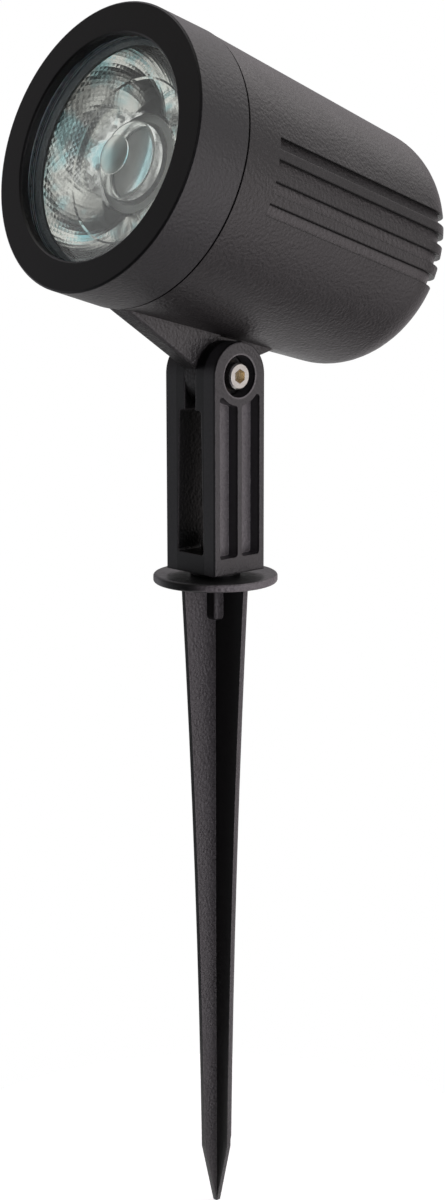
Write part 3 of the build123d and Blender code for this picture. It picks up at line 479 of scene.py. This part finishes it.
cover(turned_metal("brass_bar", (0.70, 0.50, 0.24), 0.30, UPRIGHT), "swivel_insert")
cover(turned_metal("swivel_stainless", (0.66, 0.64, 0.61), 0.28, UPRIGHT), "swivel_bolt", "spring_washer")
washer_nylon = new_finish("washer_nylon", (0.012, 0.012, 0.012), 0.42)
cover(grained(washer_nylon, size=0.0004, depth=0.00003, seed=3.0), "swivel_washer")

# ---------------------------------------------------------------- yoke
# Moulded in the same black nylon as the spike, upright on the flange: two round ears with the slot for
# the lamp's fin, a through window, and two recesses in each spark-textured flank. The recesses' floors
# are coloured paler, the window's inside is darkened as painted shade, and the lip of the screw's
# counterbore is coloured paler as a painted highlight.
YOKE_GRAIN = 0.00095
YOKE_GRAIN_DEPTH = 0.00030
WINDOW_REACH = (0.0066, 0.0103)         # half the window's room along X and Y
WINDOW_PAINTED_SHADE = 0.93
FLANK_AT = 0.0108                       # the recesses' floors lie inside this, along X
FLOORS_PALER = 2.5
PIVOT = (0.0, 0.0, 0.0666)
COUNTERBORE_LIP, LIP_HIGHLIGHT = 0.0068, 2.2    # from the pivot's axis to the middle of the lip, and how many times paler its painted highlight makes it
LIP_REACH = 0.0004                      # from there to the lip's two edges

yoke_nylon = spark_textured(
    "yoke_nylon", textured=(0.037, 0.0345, 0.035), polished=(0.014, 0.0135, 0.0145), rough=0.50, smooth=0.40,
    size=YOKE_GRAIN, depth=YOKE_GRAIN_DEPTH, seed=1.7,
)
tree = yoke_nylon.node_tree
place = parts_of(tree, own_place(tree))
middle = within(tree, place["X"], WINDOW_REACH[0])
# Painted shade: the inside of the through window is coloured almost black.
window_shade = product_of(tree, middle, within(tree, place["Y"], WINDOW_REACH[1]))
floors = math_node(tree, "SUBTRACT", within(tree, place["X"], FLANK_AT), middle)
from_pivot = distance(tree, place["Y"], math_node(tree, "SUBTRACT", place["Z"], PIVOT[2]))
# Painted highlight: a thin ring on the +X flank round the counterbore's lip is coloured paler.
lip = within(tree, math_node(tree, "SUBTRACT", from_pivot, COUNTERBORE_LIP), LIP_REACH, fade=LIP_REACH / 2)
lip = product_of(tree, lip, math_node(tree, "GREATER_THAN", place["X"], FLANK_AT + LIP_REACH))
shade = math_node(tree, "ADD", 1.0, product_of(tree, floors, FLOORS_PALER))
shade = math_node(tree, "ADD", shade, product_of(tree, lip, LIP_HIGHLIGHT))
scaled_colour(yoke_nylon, math_node(tree, "SUBTRACT", shade, product_of(tree, window_shade, WINDOW_PAINTED_SHADE)))
cover(yoke_nylon, "yoke")

# ---------------------------------------------------------------- pivot screw, washer and nut
# An M5 socket-head screw of stainless steel through the ears and the fin, its head sunk in the +X flank,
# on a plain washer; its nut is held by a hexagon pocket in the other flank. Grease fills the socket.
ACROSS = (1, 0, 0)
SOCKET_REACH = 0.00235                  # from the screw's axis, past the socket's corners
SOCKET_FROM, SOCKET_TO = 0.0085, 0.01142    # the socket's bottom and mouth, along X
GREASE, GREASE_COVER = (0.86, 0.73, 0.50), 0.75

pivot_steel = turned_metal("pivot_stainless", (0.47, 0.46, 0.435), 0.24, ACROSS, PIVOT)
tree = pivot_steel.node_tree
place = parts_of(tree, vector_node(tree, "SUBTRACT", own_place(tree), PIVOT))
sunk = product_of(
    tree, math_node(tree, "LESS_THAN", distance(tree, place["Y"], place["Z"]), SOCKET_REACH),
    math_node(tree, "LESS_THAN", place["X"], SOCKET_TO),
    math_node(tree, "GREATER_THAN", place["X"], SOCKET_FROM),
)
clean = driven(pivot_steel, "Base Color")
driven(pivot_steel, "Base Color", mixed(tree, product_of(tree, sunk, GREASE_COVER), clean, (*GREASE, 1)))
cover(pivot_steel, "pivot_bolt", "pivot_nut")
cover(turned_metal("blackened_steel", (0.030, 0.027, 0.024), 0.35, ACROSS, PIVOT), "pivot_washer")

# ---------------------------------------------------------------- lamp head housing
# Die-cast aluminium can with its bracket fin, powder-coated black: a fine leathery coat, paler on edges
# partly as wear and partly as a painted highlight. The grooves' floors carry a painted highlight that grows
# towards the lowest, each groove's upper wall a dark line of painted shade, and each lower lip a painted
# highlight at the highest groove that turns into painted shade at the lowest. The fin hangs on the pivot
# screw between the yoke's ears.
COAT_GRAIN = 0.00105
COAT_DEPTH = 0.00028
TILT = math.radians(17)
AXIS_ABOVE_PIVOT = 0.052798
LAMP = (                                # the lamp's own axes: z forward along its axis, y up from it
    Matrix.Translation(PIVOT) @ Matrix.Rotation(math.pi / 2 - TILT, 4, "X")
    @ Matrix.Translation((0, AXIS_ABOVE_PIVOT, 0))
)
GROOVE_PITCH, GROOVE_WIDTH = 0.00655, 0.0035
GROOVES_FROM, GROOVES_TO = -0.01007, 0.01307    # lowest edge and highest edge, up from the lamp's axis
GROOVE_FRONT_AT = 0.0320
GROOVE_ROOM = 0.0003                    # how far past the outer edges their shading reaches
GROOVE_SHADE = 0.0004                   # how far it reaches from a groove's walls
FLOOR_PALER, LIP_PALEST = 1.25, 0.5     # how much paler, as painted highlight, the lowest groove's floor and the highest one's lip are


def on_lamp(tree):
    """Object coordinates turned and centred on the lamp's own axes."""
    back = LAMP.inverted()
    return add(tree, "ShaderNodeMapping", {
        "Vector": own_place(tree), "Location": back.to_translation(), "Rotation": back.to_euler(),
    }).outputs[0]


powder_coat = grained(
    new_finish("powder_coat", (0.0235, 0.0215, 0.0215), 0.40), COAT_GRAIN, COAT_DEPTH,
    softness=0.55, drift=0.22, edge=0.0003, edge_wear_and_highlight=0.6, seed=5.0,
)
tree = powder_coat.node_tree
place = parts_of(tree, on_lamp(tree))
up = math_node(tree, "SUBTRACT", place["Y"], GROOVES_FROM)
phase = product_of(tree, math_node(tree, "FRACT", math_node(tree, "DIVIDE", up, GROOVE_PITCH)), GROOVE_PITCH)
banded = product_of(
    tree, math_node(tree, "GREATER_THAN", up, -GROOVE_ROOM),
    math_node(tree, "LESS_THAN", place["Y"], GROOVES_TO + GROOVE_ROOM),
    math_node(tree, "LESS_THAN", place["Z"], GROOVE_FRONT_AT),
)
# Painted shade along each groove's upper wall, painted light on the floors and on the lower lips, turning to
# painted shade at the lowest lip.
upper_wall_shade = within(tree, math_node(tree, "SUBTRACT", phase, GROOVE_WIDTH), GROOVE_SHADE, GROOVE_SHADE / 2)
in_groove = within(tree, math_node(tree, "SUBTRACT", phase, GROOVE_WIDTH / 2), GROOVE_WIDTH / 2, fade=0.0001)
lower_lip = within(tree, math_node(tree, "PINGPONG", up, GROOVE_PITCH / 2), GROOVE_SHADE, GROOVE_SHADE / 2)
groove_floor_light = ranged(tree, up, FLOOR_PALER, 0.0, 0.0, GROOVES_TO - GROOVES_FROM)
lip_shade = math_node(tree, "SUBTRACT", LIP_PALEST, groove_floor_light)
shade = math_node(
    tree, "ADD", product_of(tree, in_groove, groove_floor_light), product_of(tree, lower_lip, lip_shade))
shade = product_of(tree, math_node(tree, "SUBTRACT", shade, upper_wall_shade), banded)
scaled_colour(powder_coat, math_node(tree, "ADD", 1.0, shade))
cover(powder_coat, "head_housing")

# ---------------------------------------------------------------- front bezel and its O-ring
# Turned aluminium ring, screwed over the housing's spigot and sealed by an O-ring. Its side carries the
# same coat as the housing; its front face was machined first, so the coat lies smooth and darker there.
BEZEL_FACE_AT = 0.0656
FACE_FROM, FACE_TO = BEZEL_FACE_AT - 0.0007, BEZEL_FACE_AT - 0.0003     # where the side's coat gives way
BEZEL_BORE, BORE_SHADE = 0.0362, 0.1    # radius within which the ring's bore is darkened as painted shade, and how dark
SIDE_COAT, FACE_COAT = (0.024, 0.023, 0.0235), (0.0066, 0.0066, 0.0068)
SIDE_ROUGHNESS, FACE_ROUGHNESS = 0.47, 0.40

bezel_coat = new_finish("bezel_coat", SIDE_COAT, SIDE_ROUGHNESS)
tree = bezel_coat.node_tree
place = parts_of(tree, on_lamp(tree))
face = ranged(tree, place["Z"], 0.0, 1.0, FACE_FROM, FACE_TO)
driven(bezel_coat, "Base Color", mixed(tree, face, (*SIDE_COAT, 1), (*FACE_COAT, 1)))
driven(bezel_coat, "Roughness", ranged(tree, face, SIDE_ROUGHNESS, FACE_ROUGHNESS))
grained(
    bezel_coat, COAT_GRAIN, COAT_DEPTH, softness=0.6, drift=0.12, edge=0.0003, edge_wear_and_highlight=0.4, seed=7.0,
    raised=ranged(tree, face, 1.0, POLISHED_GRAIN),
)
# Painted shade: inside the bore, behind the face, the ring is coloured ten times darker.
bore = within(tree, distance(tree, place["X"], place["Y"]), BEZEL_BORE)
bore = product_of(tree, bore, math_node(tree, "SUBTRACT", 1.0, face))
scaled_colour(bezel_coat, ranged(tree, bore, 1.0, BORE_SHADE))
cover(bezel_coat, "front_bezel")

ring_rubber = new_finish("ring_rubber", (0.010, 0.010, 0.010), 0.55)
cover(grained(ring_rubber, size=0.0003, depth=0.00001, seed=2.0), "bezel_o_ring")

# ---------------------------------------------------------------- front glass and its gasket
# Toughened float glass with a ground edge, faintly green in its depth, in a channel of grey translucent
# silicone whose lips seal it against the bezel and the optic's ring.
LIP_PITCH = 0.00075
LIP_LIGHT_AND_SHADE = 0.5, 2.6                   # painted shade between the silicone's lips and painted highlight on their crests
HAZE_CLOUDS = 0.45, 0.75                # the noise's values at which haze begins and is full

# Haze: the roughness of a clear piece, which drifts in patches between two values.
haze, given, result = shared_group(
    "haze", [("Patch", "f", 0.02), ("Least", "f", 0.0), ("Most", "f", 0.02)], [("Roughness", "f")],
)
cloud = noise(haze, own_place(haze), math_node(haze, "DIVIDE", 1.0, given["Patch"]), detail=3.0)
haze.links.new(ranged(haze, cloud, given["Least"], given["Most"], *HAZE_CLOUDS), result["Roughness"])


def clear(name, colour, ior, patch, least, most, transmission=1.0):
    """Clear glass or plastic whose roughness drifts between two values."""
    material = new_finish(name, colour, least, Transmission_Weight=transmission, IOR=ior)
    cloud = placed_group(material.node_tree, haze, Patch=patch, Least=least, Most=most)
    driven(material, "Roughness", cloud["Roughness"])
    return material


cover(clear("float_glass", (0.97, 0.985, 0.98), ior=1.5, patch=0.012, least=0.0, most=0.004), "front_glass")
silicone = grained(
    new_finish("grey_silicone", (0.23, 0.26, 0.28), 0.30, Subsurface_Weight=0.15, Subsurface_Scale=0.001),
    size=0.0004, depth=0.00002, drift=0.1, seed=4.0,
)
tree = silicone.node_tree
place = parts_of(tree, on_lamp(tree))
out = math_node(tree, "ADD", distance(tree, place["X"], place["Y"]), place["Z"])
# Painted light and shade: bands round the gasket at the lips' pitch, dark between the lips and pale on their
# crests.
lips = math_node(tree, "SINE", product_of(tree, out, 2 * math.pi / LIP_PITCH))
scaled_colour(silicone, ranged(tree, lips, *LIP_LIGHT_AND_SHADE, -0.2, 0.9))
cover(silicone, "glass_gasket")

# ---------------------------------------------------------------- optic
# Moulded acrylic collimator, 70 mm across, held by its rim in the ring. Its side wall carries lozenge
# facets in rows, each turned half a step, with one step half way down; the wall is metallised, a thin
# film that looks teal in patches. A well at the back, with a domed lens for a roof, takes the light source.
OPTIC_SIZES = {                         # metres, on the lamp's axes; counts have no unit
    "Facets around": 84, "Facet rows": 24, "Rim radius": 0.0332, "Base radius": 0.0152,
    "Rim at": 0.0548, "Base at": 0.0380, "Swell": 0.0019, "Step after": 0.50, "Step": -0.00012,
}
OPTIC_FRONT = [                         # the smooth part, from the front's middle round to the rim's back
    (0, 0.0569), (0.0059, 0.0569), (0.0059, 0.0564), (0.0346, 0.0564), (0.0346, 0.0548), (0.0332, 0.0548),
]
WELL_RADIUS, WELL_MOUTH_RADIUS, WELL_TOP_AT, WELL_DOME = 0.0116, 0.0128, 0.0465, 0.0016
WELL_LAND = 0.00035                     # width of the moulded land round the well's top
DOME_STEPS = 10
TEAL_FILM, GREY_FILM = (0.48, 0.73, 0.76, 1), (0.88, 0.87, 0.84, 1)
FILM_TURNS = 0.27, 0.37                 # the noise's values at which the film is still teal and already grey
FILM_SCALE, FILM_SLANT = 70.0, 6.0      # patches to a metre, and how fast it goes from teal to grey along X
DOUBLES, SEAM = 0.000001, 0.000004      # points nearer than this are one, in the smooth part and at its seam

acrylic = clear("optic_acrylic", (0.965, 0.985, 0.98), ior=1.49, patch=0.006, least=0.0, most=0.003)
frosted = clear("optic_frosted", (0.93, 0.94, 0.92), ior=1.49, patch=0.002, least=0.28, most=0.36)
lens = clear("optic_lens_face", (0.94, 0.94, 0.91), ior=1.49, patch=0.003, least=0.08, most=0.13)
land = clear("optic_land", (0.90, 0.90, 0.88), ior=1.49, patch=0.001, least=0.45, most=0.55, transmission=0.3)
metallised = new_finish("optic_metallised", (0.80, 0.83, 0.83), 0.07, Metallic=1.0)
tree = metallised.node_tree
place = on_lamp(tree)
film = noise(tree, place, FILM_SCALE, detail=4.0)
film = math_node(tree, "ADD", film, product_of(tree, parts_of(tree, place)["X"], FILM_SLANT))
tint = add(tree, "ShaderNodeValToRGB", {"Fac": film})
for element, position, colour in zip(tint.color_ramp.elements, FILM_TURNS, (TEAL_FILM, GREY_FILM)):
    element.position, element.color = position, colour
driven(metallised, "Base Color", tint.outputs[0])

form = bmesh.new()
FROSTED, LENS, LAND = 1, 3, 4           # their places among the optic's materials
segments = OPTIC_SIZES["Facets around"]
for face in turned(form, OPTIC_FRONT[:2], segments):
    face.material_index = FROSTED
turned(form, OPTIC_FRONT[1:], segments)
base_edge = (OPTIC_SIZES["Base radius"], OPTIC_SIZES["Base at"])
well_mouth = (WELL_MOUTH_RADIUS, OPTIC_SIZES["Base at"])
well_edge = (WELL_RADIUS + WELL_LAND, WELL_TOP_AT)
sphere = (WELL_RADIUS ** 2 + WELL_DOME ** 2) / (2 * WELL_DOME)
dome = [
    (sphere * math.sin(a), WELL_TOP_AT - WELL_DOME + sphere * (1 - math.cos(a)))
    for a in (math.asin(WELL_RADIUS / sphere) * (1 - i / DOME_STEPS) for i in range(DOME_STEPS))
]
for face in turned(form, [base_edge, well_mouth], segments):
    face.material_index = FROSTED
turned(form, [well_mouth, well_edge], segments)
for face in turned(form, [well_edge, dome[0]], segments):
    face.material_index = LAND
for face in turned(form, dome + [(0, WELL_TOP_AT - WELL_DOME)], segments):
    face.smooth, face.material_index = True, LENS
bmesh.ops.remove_doubles(form, verts=form.verts, dist=DOUBLES)
optic = as_object(form, "faceted_optic", acrylic, frosted, metallised, lens, land)


def shape_group(name, sizes):
    """A new geometry node group that takes geometry and named sizes, with its inputs."""
    group = bpy.data.node_groups.new(name, "GeometryNodeTree")
    group.interface.new_socket("Geometry", in_out="INPUT", socket_type="NodeSocketGeometry")
    for label, value in sizes.items():
        kind = "NodeSocketInt" if isinstance(value, int) else "NodeSocketFloat"
        group.interface.new_socket(label, in_out="INPUT", socket_type=kind)
    group.interface.new_socket("Geometry", in_out="OUTPUT", socket_type="NodeSocketGeometry")
    return group, group.nodes.new("NodeGroupInput").outputs


def finished(group, geometry, **finish):
    """Ends a geometry node group in Realize Instances and Set Material."""
    geometry = add(group, "GeometryNodeRealizeInstances", {"Geometry": geometry}).outputs[0]
    geometry = add(group, "GeometryNodeSetMaterial", {"Geometry": geometry, **finish}).outputs[0]
    group.links.new(geometry, group.nodes.new("NodeGroupOutput").inputs[0])


facets, given = shape_group("facet_rows", OPTIC_SIZES)


def sum_of(*values):
    """Adds up values in the facet tree."""
    total = values[0]
    for value in values[1:]:
        total = math_node(facets, "ADD", total, value)
    return total


columns, rows = sum_of(given["Facets around"], 1.0), sum_of(given["Facet rows"], 1.0)
grid = add(facets, "GeometryNodeMeshGrid", {"Vertices X": columns, "Vertices Y": rows}).outputs["Mesh"]
index = facets.nodes.new("GeometryNodeInputIndex").outputs[0]
column = math_node(facets, "FLOOR", math_node(facets, "DIVIDE", sum_of(index, 0.5), rows))
row = math_node(facets, "SUBTRACT", index, product_of(facets, column, rows))
half_turn = product_of(facets, math_node(facets, "MODULO", row, 2.0), 0.5)
angle = product_of(facets, sum_of(column, half_turn), 2 * math.pi)
angle = math_node(facets, "DIVIDE", angle, given["Facets around"])
part = math_node(facets, "DIVIDE", row, given["Facet rows"])
rest = math_node(facets, "SUBTRACT", 1.0, part)
run = math_node(facets, "SUBTRACT", given["Rim radius"], given["Base radius"])
drop = math_node(facets, "SUBTRACT", given["Rim at"], given["Base at"])
slope = math_node(facets, "SQRT", sum_of(product_of(facets, run, run), product_of(facets, drop, drop)))
out_share, back_share = math_node(facets, "DIVIDE", drop, slope), math_node(facets, "DIVIDE", run, slope)
swell = product_of(facets, given["Swell"], product_of(facets, part, rest, 4.0))
below = math_node(facets, "GREATER_THAN", part, given["Step after"])
not_last = math_node(facets, "LESS_THAN", part, 0.999)
step = product_of(facets, given["Step"], below, not_last)
radius = sum_of(
    product_of(facets, given["Rim radius"], rest), product_of(facets, given["Base radius"], part),
    product_of(facets, swell, out_share),
)
radius = math_node(facets, "SUBTRACT", radius, step)
height = sum_of(product_of(facets, given["Rim at"], rest), product_of(facets, given["Base at"], part))
height = math_node(facets, "SUBTRACT", height, product_of(facets, swell, back_share))
point = add(facets, "ShaderNodeCombineXYZ", {
    0: product_of(facets, radius, math_node(facets, "COSINE", angle)),
    1: product_of(facets, radius, math_node(facets, "SINE", angle)), 2: height,
}).outputs[0]
wall = add(facets, "GeometryNodeSetPosition", {"Geometry": grid, "Position": point}).outputs[0]
wall = add(facets, "GeometryNodeTriangulate", {"Mesh": wall}, quad_method="SHORTEST_DIAGONAL").outputs[0]
wall = add(facets, "GeometryNodeSetShadeSmooth", {"Geometry": wall, "Shade Smooth": False}).outputs[0]
wall = add(facets, "GeometryNodeStoreNamedAttribute", {
    "Geometry": wall, "Name": "metallised_wall", "Value": True,
}, data_type="BOOLEAN", domain="FACE").outputs[0]
joined = facets.nodes.new("GeometryNodeJoinGeometry")
facets.links.new(wall, joined.inputs[0])
facets.links.new(given["Geometry"], joined.inputs[0])
closed = add(facets, "GeometryNodeMergeByDistance", {
    "Geometry": joined.outputs[0], "Distance": SEAM,
}).outputs[0]
side = add(facets, "GeometryNodeInputNamedAttribute", {"Name": "metallised_wall"}, data_type="BOOLEAN")
finished(facets, closed, Selection=side.outputs["Attribute"], Material=metallised)


def made_by(piece, group, sizes, name, place):
    """Runs a geometry node group with its sizes on a piece, and gives back the plain mesh as a new object."""
    modifier = piece.modifiers.new(group.name, "NODES")
    modifier.node_group = group
    for item in group.interface.items_tree:
        if item.in_out == "INPUT" and item.name in sizes:
            modifier[item.identifier] = sizes[item.name]
    bpy.context.view_layer.update()
    mesh = bpy.data.meshes.new_from_object(piece.evaluated_get(bpy.context.evaluated_depsgraph_get()))
    bpy.data.objects.remove(piece)
    form = bmesh.new()
    form.from_mesh(mesh)
    bmesh.ops.transform(form, matrix=place, verts=form.verts)
    bmesh.ops.recalc_face_normals(form, faces=form.faces)
    form.to_mesh(mesh)
    form.free()
    for slot in reversed(range(len(mesh.materials))):
        if mesh.materials[slot] is None:
            mesh.materials.pop(index=slot)
    mesh.name = name
    made = bpy.data.objects.new(name, mesh)
    scene.collection.objects.link(made)
    return made


optic = made_by(optic, facets, OPTIC_SIZES, "faceted_optic", LAMP)
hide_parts("optic_lens")
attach(optic, "lamp_head")

# ---------------------------------------------------------------- optic ring and cup
# Two plain mouldings of matt grey plastic that hold the optic by its rim: a cup that stands on the heat
# spreader, and a flared ring over it that shows as the grey line inside the gasket.
cup_plastic = new_finish("cup_plastic", (0.30, 0.31, 0.32), 0.38)
ring_plastic = new_finish("ring_plastic", (0.13, 0.15, 0.16), 0.28)
cover(grained(cup_plastic, size=0.0006, depth=0.00004, drift=0.12, seed=8.0), "optic_cup")
cover(grained(ring_plastic, size=0.0005, depth=0.00002, drift=0.1, seed=8.5), "optic_ring")

# ---------------------------------------------------------------- light source
# Chips in rows on a white ceramic board, under a round field of yellow phosphor gel, pressed onto the
# spreader by a white clamp. The leads come up through the spreader to its rim.
FIELD_AT = 0.0361                       # front of the phosphor, on the lamp's axis
CHIP_SIZES = {"Pitch": 0.0012, "Chip": 0.0008, "Thickness": 0.00012, "Field": 0.0071}
CHIP_ROWS = 13                          # of which the corners are cut off by the field's radius

phosphor = new_finish(
    "phosphor_gel", (0.80, 0.60, 0.12), 0.35, Subsurface_Weight=0.3, Subsurface_Scale=0.0008,
)
cover(grained(phosphor, size=0.0003, depth=0.00002, drift=0.12, seed=9.0), "led_phosphor")
chip_finish = new_finish("chip_under_gel", (0.86, 0.70, 0.22), 0.3)
grained(chip_finish, size=0.0002, depth=0.00001, drift=0.2, seed=9.5)

chips, given = shape_group("chip_rows", CHIP_SIZES)
across = product_of(chips, given["Pitch"], CHIP_ROWS - 1.0)
places = add(chips, "GeometryNodeMeshGrid", {
    "Size X": across, "Size Y": across, "Vertices X": CHIP_ROWS, "Vertices Y": CHIP_ROWS,
}).outputs["Mesh"]
reach = vector_node(chips, "LENGTH", chips.nodes.new("GeometryNodeInputPosition").outputs[0], output="Value")
outside = add(chips, "FunctionNodeCompare", {
    0: reach, 1: given["Field"],
}, operation="GREATER_THAN").outputs[0]
places = add(chips, "GeometryNodeDeleteGeometry", {"Geometry": places, "Selection": outside}).outputs[0]
size = add(chips, "ShaderNodeCombineXYZ", {0: given["Chip"], 1: given["Chip"], 2: given["Thickness"]})
chip = add(chips, "GeometryNodeMeshCube", {"Size": size.outputs[0]}).outputs["Mesh"]
laid = add(chips, "GeometryNodeInstanceOnPoints", {"Points": places, "Instance": chip}).outputs[0]
finished(chips, laid, Material=chip_finish)
on_board = LAMP @ Matrix.Translation((0, 0, FIELD_AT + CHIP_SIZES["Thickness"] / 2))
led_chips = made_by(as_object(bmesh.new(), "chip_blank"), chips, CHIP_SIZES, "led_chips", on_board)
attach(led_chips, "lamp_head")

ceramic = new_finish("white_ceramic", (0.76, 0.76, 0.74), 0.32)
clamp_plastic = new_finish("clamp_plastic", (0.72, 0.72, 0.70), 0.40)
lead_sleeve = new_finish("lead_sleeve", (0.45, 0.03, 0.02), 0.35)
cover(grained(ceramic, size=0.0003, depth=0.00001, drift=0.05, seed=1.1), "led_substrate")
cover(grained(clamp_plastic, size=0.0005, depth=0.00003, drift=0.06, seed=1.3), "led_clamp")
cover(grained(lead_sleeve, size=0.0004, depth=0.00002, drift=0.12, seed=1.5), "led_leads")

# ---------------------------------------------------------------- heat spreader, screws and pads
# A machined aluminium disc screwed to three bosses in the housing, with soft grey pads that carry the
# heat from the board and the driver.
lamp_middle = tuple(LAMP.to_translation())
lamp_axis = tuple(LAMP.to_3x3() @ Vector((0, 0, 1)))
spreader = turned_metal("spreader_aluminium", (0.78, 0.78, 0.77), 0.34, lamp_axis, lamp_middle)
screws = turned_metal("screw_stainless", (0.68, 0.67, 0.65), 0.30, lamp_axis, lamp_middle)
pads = new_finish("thermal_silicone", (0.24, 0.25, 0.27), 0.6)
cover(spreader, "heat_spreader")
cover(screws, "spreader_screws", "clamp_screws")
cover(grained(pads, size=0.0007, depth=0.00005, drift=0.15, seed=2.5), "thermal_pad", "driver_pad")

# ---------------------------------------------------------------- driver
# The electronics, in a closed box of moulded white polycarbonate with a light texture. It is bedded on
# its pad at the bottom of the can.
driver_plastic = new_finish("driver_plastic", (0.70, 0.70, 0.68), 0.45)
cover(grained(driver_plastic, size=0.0009, depth=0.00006, drift=0.08, seed=6.0), "driver_case")

# ---------------------------------------------------------------- cable gland
# Black nylon gland in the rear wall: hexagon body, domed cap and locknut, moulded with a light matt
# texture, a flat rubber washer under the hexagon and a rubber bush that grips the cable.
gland_nylon = new_finish("gland_nylon", (0.020, 0.020, 0.021), 0.42)
grained(gland_nylon, size=0.0004, depth=0.00005, softness=0.6, drift=0.1, seed=6.5)
cover(gland_nylon, "gland_body", "gland_cap", "gland_locknut")
cover(ring_rubber, "gland_washer", "gland_seal")
